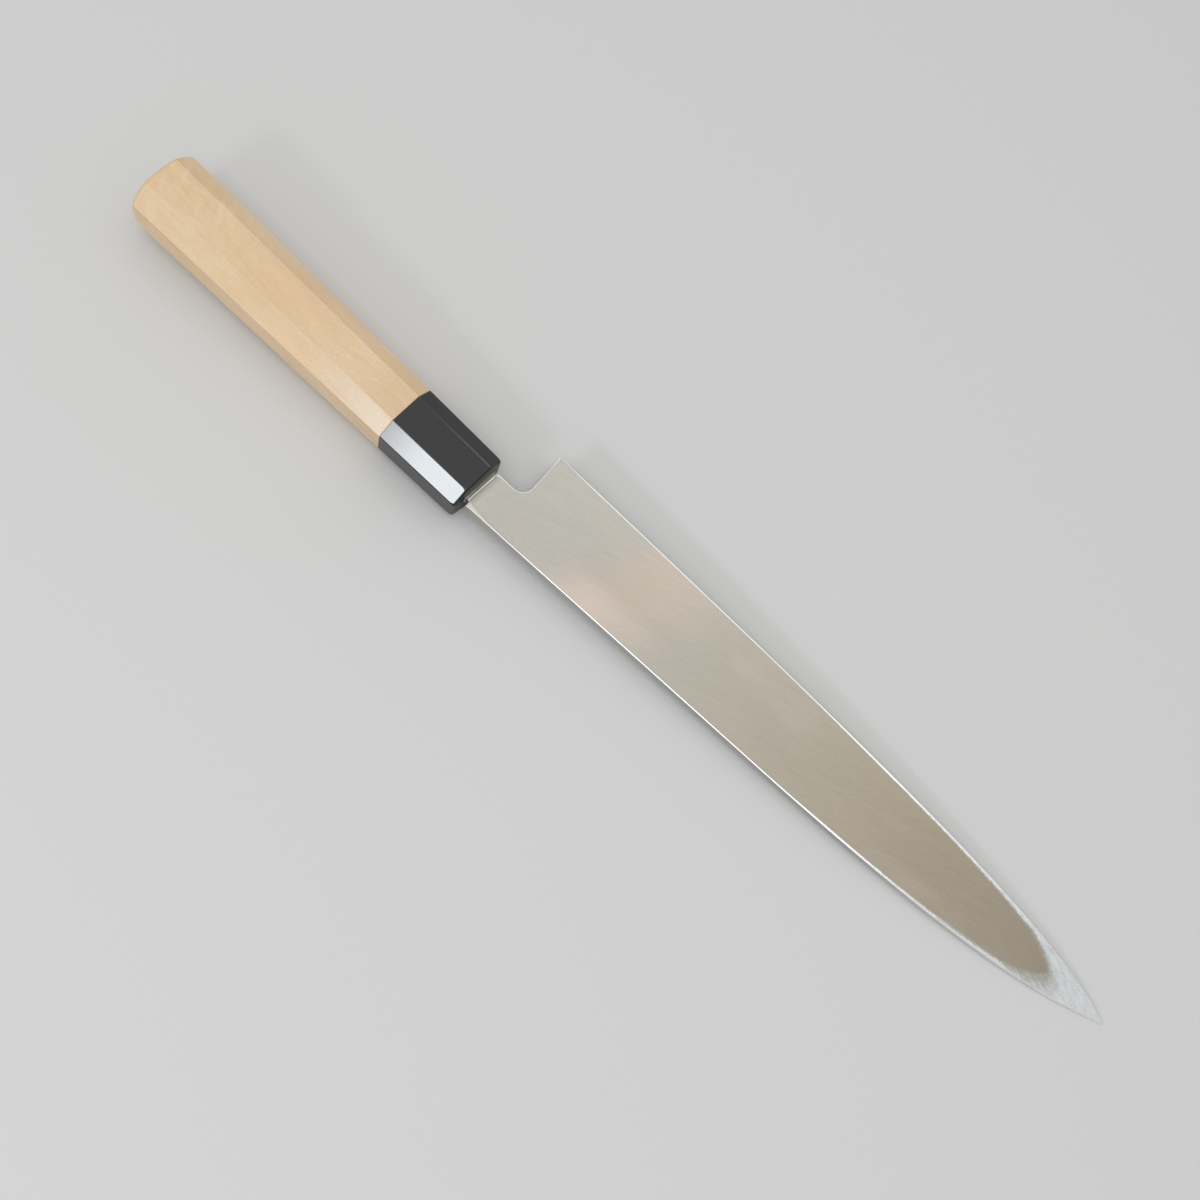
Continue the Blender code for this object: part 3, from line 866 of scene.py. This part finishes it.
def uneven(turn, height):
    """A smooth, repeatable unevenness round the resin's bead, from -1 to 1."""
    waves = math.sin(5 * turn + 0.6) + 0.7 * math.sin(9 * turn + 2.1 + 3.0 * height)
    return (waves + 0.5 * math.sin(17 * turn + 4.0 * height)) / 2.2


def build_seal():
    """The resin: a sleeve in the horn's slot, and a bead that stands proud of the mouth."""
    proud = SHOULDER_GAP - SEAL_SHOULDER_GAP
    profile = (
        (-SEAL_DEPTH, SEAL_FIT), (BEAD_FOOT, SEAL_FIT), (proud * 0.62, SEAL_FIT + 0.00002),
        (proud * 0.90, 0.00020), (proud, 0.00032), (proud * 0.90, 0.00046),
        (proud * 0.60, 0.00056), (BEAD_FOOT, 0.00059), (-SEAL_DEPTH, SEAL_FIT + SEAL_WALL),
    )
    rings = []
    for level, (x, grow) in enumerate(profile):
        radius = BEAD_ROUND + BEAD_OPENING * grow
        base = rounded(tang_corners(x, grow), radius, BEAD_STEPS, BEAD_MARKS)
        ring = []
        for k, point in enumerate(base):
            wave = uneven(2.0 * math.pi * k / len(base), BEAD_DRIFT * level)
            droop = BEAD_DROOP * (1.0 - wave) if x > BEAD_FOOT else 0.0
            ring.append(Vector((x - droop * x / proud, *point)))
        rings.append(ring)
    mesh = rings_mesh("seal_fine", rings, closed=True)
    mesh.materials.append(resin)
    put_in_place(mesh, ROOT)
    made = new_object("seal_fine", mesh)
    smooth(made, BEAD_CREASE)
    return made


# Materials. Places along x, y and z are millimetres of the piece's own axes.
class Surface:
    """A Principled material and the nodes that drive it, in millimetres of the piece."""

    def __init__(self, name, **sockets):
        self.material = bpy.data.materials.new(name)
        self.material.use_nodes = True
        self.nodes = self.material.node_tree.nodes
        self.links = self.material.node_tree.links
        self.shader = self.nodes["Principled BSDF"]
        for socket, value in sockets.items():
            self.shader.inputs[socket.replace("_", " ")].default_value = value
        self.mm = self.add("Attribute", {}, attribute_name="place").outputs["Vector"]
        self.x, self.y, self.z = self.add("SeparateXYZ", {0: self.mm}).outputs

    def feed(self, socket, value):
        if isinstance(value, bpy.types.NodeSocket):
            self.links.new(value, socket)
        else:
            socket.default_value = (*value, 1.0) if socket.type == "RGBA" else value

    def add(self, kind, inputs, **settings):
        """A new node with its settings, fed at its numbered or named inputs."""
        node = self.nodes.new("ShaderNode" + kind)
        for name, value in settings.items():
            setattr(node, name, value)
        for key, value in inputs.items():
            self.feed(node.inputs[key], value)
        return node

    def math(self, operation, a, b=0.0, c=0.0):
        return self.add("Math", {0: a, 1: b, 2: c}, operation=operation).outputs[0]

    def scaled(self, value, factor, plus):
        return self.math("MULTIPLY_ADD", value, factor, plus)

    def times(self, product, *factors):
        for factor in factors:
            product = self.math("MULTIPLY", product, factor)
        return product

    def around(self, value, amount):
        """Turns a 0 to 1 pattern into a factor that swings round 1."""
        return self.scaled(value, 2.0 * amount, 1.0 - amount)

    def swing(self, *patterns):
        """One factor that swings round 1, from patterns and how much each of them sways it."""
        return self.times(*[self.around(value, amount) for value, amount in patterns])

    def ramp(self, value, low, high, start=0.0, end=1.0):
        """A smooth passage from start, where the value is low, to end, where it is high."""
        ends = {"From Min": low, "From Max": high, "To Min": start, "To Max": end}
        node = self.add("MapRange", {"Value": value, **ends}, interpolation_type="SMOOTHSTEP")
        return node.outputs["Result"]

    def stretched(self, scale, turn, shift):
        """Coordinates turned, in degrees, and then scaled, per millimetre."""
        angles = [math.radians(angle) for angle in turn]
        inputs = {"Vector": self.mm, "Rotation": angles}
        turned = self.add("VectorRotate", inputs, rotation_type="EULER_XYZ").outputs[0]
        inputs = {0: turned, 1: scale, 2: shift}
        return self.add("VectorMath", inputs, operation="MULTIPLY_ADD").outputs[0]

    def noise(self, scale, detail, roughness, turn=0.0, shift=ZERO, distortion=0.0, tilt=0.0):
        """A cloudy 0 to 1 pattern, turned round z and tilted round y, in degrees."""
        inputs = {"Vector": self.stretched(scale, (0.0, tilt, turn), shift), "Scale": 1.0}
        inputs.update(Detail=detail, Roughness=roughness, Distortion=distortion)
        return self.add("TexNoise", inputs).outputs["Fac"]

    def dots(self, scale, turn, size):
        inputs = {"Vector": self.stretched(scale, turn, ZERO), "Scale": 1.0}
        return self.ramp(self.add("TexVoronoi", inputs).outputs["Distance"], size, size * 0.4)

    def mix(self, share, a, b):
        """Of two colours, a where the share is 0 and b where it is 1."""
        return self.add("Mix", {0: share, 6: a, 7: b}, data_type="RGBA").outputs[2]

    def between(self, share, a, b):
        """Of two numbers, a where the share is 0 and b where it is 1."""
        return self.add("Mix", {0: share, 2: a, 3: b}).outputs[0]

    def tone(self, colour, amount):
        """A colour made lighter or darker by a number round 1."""
        return self.add("VectorMath", {0: colour, "Scale": amount}, operation="SCALE").outputs[0]

    def attribute(self, name):
        return self.add("Attribute", {}, attribute_name=name).outputs["Fac"]

    def bump(self, height, distance, strength=1.0):
        inputs = {"Height": height, "Distance": distance, "Strength": strength}
        self.feed(self.shader.inputs["Normal"], self.add("Bump", inputs).outputs[0])

    def finish(self, colour, roughness):
        self.feed(self.shader.inputs["Base Color"], colour)
        self.feed(self.shader.inputs["Roughness"], roughness)
        return self.material


def satin_hollow(s, hair):
    """The hollow's satin: greyer by the neck and browner toward the tip, partly painted
    reflection, with a painted pinkish reflection between.
    """
    long_hair = s.noise((0.05, 1.3, 1.3), 3.0, 0.55, -12.0)
    grain = s.noise((1.1, 2.4, 2.4), 3.0, 0.6, -19.0)
    cloud = s.noise((0.035, 0.06, 0.06), 3.0, 0.55)
    patch = s.noise((0.030, 0.055, 0.055), 2.0, 0.5, shift=(3.7, 1.3, 0.0))
    # Greyer by the neck, browner and darker toward the tip: partly the steel's own tone, partly
    # painted reflection.
    satin = s.mix(s.ramp(s.x, 10.0, 130.0), (0.466, 0.449, 0.407), (0.424, 0.386, 0.317))
    satin = s.mix(s.ramp(s.x, 100.0, 178.0), satin, (0.402, 0.349, 0.2745))
    # Painted reflection: a pinkish band slanting across the middle, and pinkish patches.
    slant = s.scaled(s.y, -0.6, s.x)
    slant = s.math("ADD", slant, s.scaled(cloud, 12.0, -6.0))
    painted_pink_mask = s.times(s.ramp(slant, 22.0, 45.0), s.ramp(slant, 74.0, 42.0))
    painted_pink = s.mix(s.ramp(s.y, 5.0, 13.0), (0.575, 0.490, 0.425), (0.510, 0.441, 0.374))
    satin = s.mix(s.times(painted_pink_mask, s.around(patch, 0.20)), satin, painted_pink)
    satin = s.mix(s.ramp(patch, 0.54, 0.74, 0.0, 0.35), satin, (0.510, 0.440, 0.380))
    # Painted shade: a little lighter toward the spine, darker toward the edge.
    across = s.ramp(s.y, 1.0, 13.0, 1.025, 0.985)
    shade = s.times(s.swing((hair, 0.115), (cloud, 0.045)), across)
    shade = s.times(shade, s.around(long_hair, 0.06), s.around(grain, 0.075))
    pits = s.dots((0.11, 0.11, 0.11), (0.0, 0.0, 20.0), 0.026)
    return s.mix(s.times(pits, 0.6), s.tone(satin, shade), (0.12, 0.11, 0.10))


def honed_flat(s, grind, hair, mottle, polish):
    """Rims and point: plain by the neck, bright beyond it, partly painted reflection, with a dull
    halo at the nose and painted highlights along the outline and the shoulder.
    """
    # Bright rims: partly polished steel, partly painted reflection, bluish white and brightest
    # toward the tip.
    bright = s.mix(s.ramp(s.x, 220.0, 232.0), (0.915, 0.945, 0.950), (0.940, 0.985, 1.0))
    plain = s.tone((0.560, 0.556, 0.500), s.swing((hair, 0.09), (mottle, 0.10)))
    past_neck = s.ramp(s.x, 9.0, 30.0)
    flat = s.mix(past_neck, plain, s.tone(bright, polish))
    reach = s.times(s.ramp(s.x, 203.0, 223.0, -0.7, -7.5), s.ramp(s.y, 11.3, 14.3, 1.0, 0.35))
    halo = s.times(s.ramp(grind, reach, -0.2), s.ramp(s.x, 150.0, 214.0, 0.0, 0.92))
    flat = s.mix(halo, flat, s.tone((0.520, 0.520, 0.450), polish))
    # Painted highlight: a near-white line along the outline past the neck.
    painted_rim_highlight = s.mix(s.ramp(s.x, 150.0, 205.0), (0.80, 0.81, 0.79), (0.97, 0.98, 0.98))
    honed = s.noise((0.22, 0.4, 0.4), 3.0, 0.6, shift=(2.0, 5.1, 0.0))
    at_border = s.times(s.ramp(s.attribute("rim"), 0.42, 0.14), past_neck)
    flat = s.mix(at_border, flat, s.tone(painted_rim_highlight, s.around(honed, 0.22)))
    # Painted highlight: a pale line on the narrow rim by the shoulder.
    return s.mix(s.ramp(s.attribute("start"), 0.05, -0.1), flat, (0.84, 0.83, 0.72))


def hollow_steel():
    s = Surface("steel_hollow_face", Metallic=1.0)
    hair = s.noise((0.22, 3.4, 3.4), 5.0, 0.65, -19.0)
    scratch = s.noise((0.22, 2.7, 2.7), 4.0, 0.65, 26.0)
    cross = s.noise((0.35, 3.2, 3.2), 3.0, 0.6, -22.0)
    mottle = s.noise((0.30, 0.85, 0.85), 5.0, 0.65, 18.0)
    polish = s.swing((scratch, 0.44), (cross, 0.22), (mottle, 0.20))

    # The grind's border is sharp by the neck, and ragged and soft toward the tip.
    wander = s.noise((0.8, 1.1, 1.1), 5.0, 0.7)
    ragged = s.times(s.math("SUBTRACT", wander, 0.5), s.ramp(s.x, 120.0, 212.0, 0.15, 1.9))
    grind = s.math("ADD", s.attribute("grind"), ragged)
    blur = s.ramp(s.x, 120.0, 215.0, 0.06, 0.62)
    hollow = s.ramp(grind, s.times(blur, -1.0), blur)

    # Painted shade: dark bands where the hollow begins. A darker line runs along the grind's
    # border by the neck, and a painted highlight, a pale line, along the choil.
    start = s.attribute("start")
    line = s.times(s.ramp(grind, 0.34, 0.04, 0.0, 0.30), s.ramp(s.x, 30.0, 12.0))
    wide = s.ramp(start, 2.6, 0.3, 0.0, 0.20)
    narrow = s.ramp(start, 0.75, 0.25, 0.0, 0.38)
    dark = s.math("MAXIMUM", line, s.math("MAXIMUM", wide, narrow))
    satin = s.tone(satin_hollow(s, hair), s.math("SUBTRACT", 1.0, dark))
    # Painted highlight: a pale line along the choil's eased edge.
    eased = s.times(s.ramp(s.attribute("rim"), 0.70, 0.22, 0.0, 0.9), s.attribute("choil"))
    satin = s.mix(eased, satin, (0.80, 0.79, 0.73))

    colour = s.mix(hollow, honed_flat(s, grind, hair, mottle, polish), satin)
    rough_hollow = s.scaled(hair, 0.10, 0.30)
    rough_flat = s.scaled(mottle, 0.16, s.ramp(s.x, 8.0, 40.0, 0.24, 0.10))
    s.bump(s.math("ADD", hair, s.times(scratch, 0.5)), 0.000003, 0.5)
    return s.finish(colour, s.between(hollow, rough_flat, rough_hollow))


def edge_steel():
    s = Surface("steel_eased_edges", Metallic=1.0)
    lines = s.noise((0.015, 0.6, 2.1), 3.0, 0.6)
    spots = s.noise((0.5, 1.0, 1.0), 3.0, 0.6)
    by_neck = s.times(s.ramp(s.x, 34.0, 5.0), s.ramp(s.y, 9.0, 5.0))
    side = s.times(s.ramp(s.z, -0.16, -0.34), s.ramp(s.x, 195.0, 140.0))
    colour = s.mix(side, (0.88, 0.88, 0.86), (0.50, 0.50, 0.48))
    colour = s.mix(by_neck, colour, (0.53, 0.525, 0.48))
    colour = s.tone(colour, s.swing((lines, 0.34), (spots, 0.10)))
    s.bump(lines, 0.000006, 0.5)
    return s.finish(colour, s.scaled(spots, 0.14, 0.12))


def bevel_steel():
    s = Surface("steel_bevel_face", Metallic=1.0)
    lines = s.noise((0.08, 8.0, 8.0), 4.0, 0.6, -4.0)
    stone = s.noise((0.9, 5.0, 5.0), 4.0, 0.6, 55.0)
    cloud = s.noise((0.05, 0.10, 0.10), 3.0, 0.55)
    flat = s.tone((0.66, 0.655, 0.635), s.swing((lines, 0.06), (cloud, 0.05)))
    haze = s.tone((0.60, 0.60, 0.59), s.swing((stone, 0.07), (cloud, 0.06)))
    bright = s.tone((0.78, 0.79, 0.79), s.around(stone, 0.05))
    depth = s.attribute("bevel")
    wave = s.noise((0.12, 0.3, 0.3), 3.0, 0.6)
    hard = s.math("ADD", depth, s.times(s.math("SUBTRACT", wave, 0.5), 1.6))
    bevel = s.mix(s.ramp(hard, 8.6, 9.2), haze, bright)
    on_bevel = s.ramp(depth, -0.03, 0.03)
    rough_flat = s.scaled(lines, 0.08, 0.20)
    rough_bevel = s.scaled(stone, 0.10, 0.33)
    s.bump(s.math("ADD", lines, stone), 0.000004, 0.5)
    return s.finish(s.mix(on_bevel, flat, bevel), s.between(on_bevel, rough_flat, rough_bevel))


def forged_steel():
    s = Surface("steel_forged_tang", Metallic=1.0)
    scale = s.noise((0.5, 0.5, 0.5), 5.0, 0.65)
    lines = s.noise((0.3, 6.0, 6.0), 3.0, 0.6)
    colour = s.mix(s.ramp(scale, 0.35, 0.7), (0.30, 0.295, 0.265), (0.40, 0.39, 0.36))
    s.bump(scale, 0.00003, 0.6)
    return s.finish(s.tone(colour, s.around(lines, 0.15)), s.scaled(scale, 0.2, 0.34))


def end_grain(s):
    """Wavy growth rings round a heart far below the handle, with open pores."""
    across = s.add("CombineXYZ", {1: s.y, 2: s.math("SUBTRACT", s.z, -55.0)}).outputs[0]
    radius = s.add("VectorMath", {0: across}, operation="LENGTH").outputs["Value"]
    warp = s.noise((0.12, 0.17, 0.17), 4.0, 0.55)
    phase = s.scaled(warp, 6.0, s.times(radius, 2.6))
    rings = s.scaled(s.math("SINE", phase), 0.5, 0.5)
    dots = s.noise((2.0, 7.0, 7.0), 3.0, 0.6)
    return s.tone((0.66, 0.47, 0.30), s.swing((rings, 0.045), (dots, 0.10)))


def magnolia_wood():
    s = Surface("magnolia_sanded", Specular_IOR_Level=0.42)
    cloud = s.noise((0.030, 0.10, 0.10), 3.0, 0.5, 8.0, (1.0, 4.2, 2.0))
    colour = s.mix(s.ramp(cloud, 0.35, 0.68), (0.741, 0.526, 0.317), (0.762, 0.566, 0.361))

    # Flame near the butt, a pale sweep along the handle, and a painted sheen on one chamfer by
    # the horn.
    figure = s.noise((0.055, 0.30, 0.12), 3.0, 0.55, 67.0, (5.0, 1.7, 0.0), 0.5)
    sweep = s.noise((0.045, 0.32, 0.32), 3.0, 0.55, -9.0, (0.0, 6.3, 1.1), 0.5)
    near_butt = s.ramp(s.x, -76.0, -116.0)
    pale = s.times(s.ramp(figure, 0.50, 0.74, 0.0, 0.50), near_butt)
    pale = s.math("MAXIMUM", pale, s.ramp(sweep, 0.52, 0.78, 0.0, 0.45))
    colour = s.mix(pale, colour, (0.815, 0.655, 0.440))
    brown = s.times(s.ramp(figure, 0.46, 0.30, 0.0, 0.25), near_butt)
    colour = s.mix(brown, colour, (0.67, 0.465, 0.27))
    colour = s.mix(s.ramp(s.x, -52.0, -31.0, 0.0, 0.6), colour, (0.690, 0.486, 0.291))
    # Painted sheen: paler on the upper chamfer of the spine's side, toward the horn.
    painted_sheen = s.times(s.ramp(s.x, -66.0, -33.0, 0.0, 0.9), s.ramp(s.y, -4.6, -6.6))
    painted_sheen = s.times(painted_sheen, s.ramp(s.z, 3.4, 5.2))
    colour = s.mix(painted_sheen, colour, (0.725, 0.592, 0.445))

    # Fibres and bands, dark pores and pale flecks.
    fibre = s.noise((0.14, 2.2, 2.2), 5.0, 0.65)
    band = s.noise((0.035, 0.55, 0.55), 3.0, 0.55, 5.0, distortion=0.3, tilt=3.0)
    pores = s.noise((0.5, 2.9, 2.9), 4.0, 0.65, 2.0)
    fleck = s.noise((0.42, 2.5, 2.5), 4.0, 0.65, -20.0)
    dark = s.ramp(pores, 0.57, 0.74, 0.0, 0.17)
    light = s.times(s.ramp(fleck, 0.53, 0.74, 0.0, 0.16), s.ramp(s.x, -90.0, -50.0, 0.8, 1.35))
    shade = s.math("SUBTRACT", s.swing((fibre, 0.095), (band, 0.07)), dark)
    colour = s.tone(colour, s.math("ADD", shade, light))

    colour = s.mix(s.attribute("end_grain"), colour, end_grain(s))
    # Lighter along the ridges and round the butt: partly wear, partly painted highlight.
    ridge_highlight = s.times(s.ramp(s.attribute("ridge"), 0.42, 0.10, 0.0, 0.22), s.around(cloud, 0.5))
    colour = s.mix(ridge_highlight, colour, (0.86, 0.71, 0.51))
    joint = s.ramp(s.x, -30.45, -30.08, 0.0, 0.5)
    colour = s.mix(joint, colour, (0.50, 0.27, 0.12))
    rough = s.scaled(fibre, 0.14, s.ramp(s.x, -66.0, -34.0, 0.34, 0.20))
    s.bump(s.math("ADD", fibre, s.times(pores, -0.6)), 0.00002, 0.45)
    return s.finish(colour, rough)


def buffalo_horn():
    s = Surface("buffalo_horn_polished", IOR=1.555)
    streak = s.noise((0.08, 1.6, 1.6), 4.0, 0.6)
    fine = s.noise((0.10, 3.6, 3.6), 3.0, 0.6, 3.0)
    cloud = s.ramp(s.noise((0.08, 0.2, 0.2), 3.0, 0.5), 0.35, 0.7)
    colour = s.mix(cloud, (0.0018, 0.0022, 0.0026), (0.0030, 0.0034, 0.0034))
    colour = s.tone(colour, s.swing((streak, 0.35), (fine, 0.20)))
    # Painted highlight: a grey-blue line along the ridges on the edge's side and round the mouth,
    # stronger toward the mouth.
    ridge_highlight = s.times(s.ramp(s.attribute("ridge"), 0.36, 0.12), s.ramp(s.x, -26.0, -2.0, 0.20, 0.85))
    ridge_highlight = s.times(ridge_highlight, s.ramp(s.y, -4.0, 4.0), s.around(streak, 0.5))
    colour = s.mix(ridge_highlight, colour, (0.110, 0.112, 0.115))
    dust = s.dots((0.21, 0.21, 0.21), (10.0, 20.0, 30.0), 0.030)
    colour = s.mix(s.times(dust, 0.45), colour, (0.32, 0.31, 0.30))
    rough = s.scaled(fine, 0.03, s.ramp(s.x, -34.0, -5.0, 0.160, 0.025))
    rough = s.math("ADD", rough, s.ramp(s.x, -0.25, -0.03, 0.0, 0.33))
    s.bump(s.scaled(fine, 0.5, streak), 0.0000003, 0.5)
    return s.finish(colour, rough)


def pale_resin():
    s = Surface("mouth_resin", IOR=1.5)
    blot = s.noise((0.7, 0.5, 0.5), 4.0, 0.6, shift=(0.0, 2.4, 0.0))
    lines = s.noise((2.6, 0.35, 1.5), 3.0, 0.6)
    # Pale blots, partly pale glue and partly painted glints, more of them toward the spine's
    # side.
    side = s.ramp(s.y, 1.5, -4.5, 0.0, 0.24)
    pale = s.ramp(s.math("ADD", blot, side), 0.66, 0.80)
    glue = s.tone((0.215, 0.210, 0.175), s.around(lines, 0.45))
    colour = s.mix(pale, glue, (0.60, 0.59, 0.54))
    s.bump(blot, 0.00006, 0.6)
    return s.finish(colour, s.scaled(blot, 0.16, 0.10))


def pale_paper():
    s = Surface("pale_floor", Specular_IOR_Level=0.2)
    tooth = s.noise((0.6, 0.6, 0.6), 3.0, 0.6)
    return s.finish(s.tone((0.66, 0.66, 0.655), s.around(tooth, 0.008)), 0.9)


hollow_face = hollow_steel()
edges = edge_steel()
bevel_face = bevel_steel()
forged = forged_steel()
magnolia = magnolia_wood()
horn = buffalo_horn()
resin = pale_resin()

blade = build_blade()
handle = build_handle()
ferrule = build_ferrule()
seal = build_seal()
dressed = (
    (blade, "blade", "steel"),
    (handle, "handle_body", "magnolia"),
    (ferrule, "ferrule", "horn"),
    (seal, "mouth_seal", "resin"),
)
for piece, node, finish_slot in dressed:
    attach(piece, "root")
    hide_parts(node)

# Floor, light and camera. The camera's place is the one that the photograph's outline gave.
FLOOR_SIZE = 14.0
IMAGE_PIXELS = 1200.0
FOCAL_PIXELS = 1548.4
CAMERA_PLACE = (0.03165, -0.14489, 0.44026)
CAMERA_TURN = (16.227, -8.875, 42.566)

corners = ((-1, -1), (1, -1), (1, 1), (-1, 1))
floor_points = [(a * FLOOR_SIZE / 2.0, b * FLOOR_SIZE / 2.0, 0.0) for a, b in corners]
floor_mesh = to_mesh("floor", floor_points, [(0, 1, 2, 3)])
put_in_place(floor_mesh, Matrix.Identity(4))
floor_mesh.materials.append(pale_paper())
floor = new_object("floor", floor_mesh)


def soft_box(name, place, aim, size, radiance, colour):
    """A rectangular lamp whose face shines with the given radiance."""
    lamp = bpy.data.lights.new(name, "AREA")
    lamp.shape = "RECTANGLE"
    lamp.size, lamp.size_y = size
    lamp.energy = radiance * math.pi * size[0] * size[1]
    lamp.color = colour
    made = new_object(name, lamp)
    made.location = place
    made.rotation_euler = (Vector(aim) - Vector(place)).to_track_quat("-Z", "Y").to_euler()


soft_box(
    "key", place=(0.0, -0.37, 1.46), aim=ZERO, size=(1.0, 1.0),
    radiance=1.93, colour=(1.0, 0.985, 0.96),
)
soft_box(
    "fill", place=(-0.05, 0.50, 1.40), aim=ZERO, size=(1.2, 0.7),
    radiance=0.56, colour=(1.0, 1.0, 1.0),
)
soft_box(
    "window", place=(-0.180, -0.770, 0.471), aim=(-0.07, 0.0, 0.016), size=(0.22, 0.09),
    radiance=17.6, colour=(0.905, 0.955, 0.995),
)

world = bpy.data.worlds.new("studio")
world.use_nodes = True
world.node_tree.nodes["Background"].inputs["Color"].default_value = (0.99, 0.995, 1.0, 1.0)
world.node_tree.nodes["Background"].inputs["Strength"].default_value = 0.60
bpy.context.scene.world = world

camera_data = bpy.data.cameras.new("photo_camera")
camera_data.sensor_width = 36.0
camera_data.lens = FOCAL_PIXELS / IMAGE_PIXELS * camera_data.sensor_width
camera_data.clip_start = 0.01
camera = new_object("photo_camera", camera_data)
camera.location = CAMERA_PLACE
camera.rotation_euler = [math.radians(angle) for angle in CAMERA_TURN]
bpy.context.scene.camera = camera
bpy.context.scene.view_settings.view_transform = "Standard"
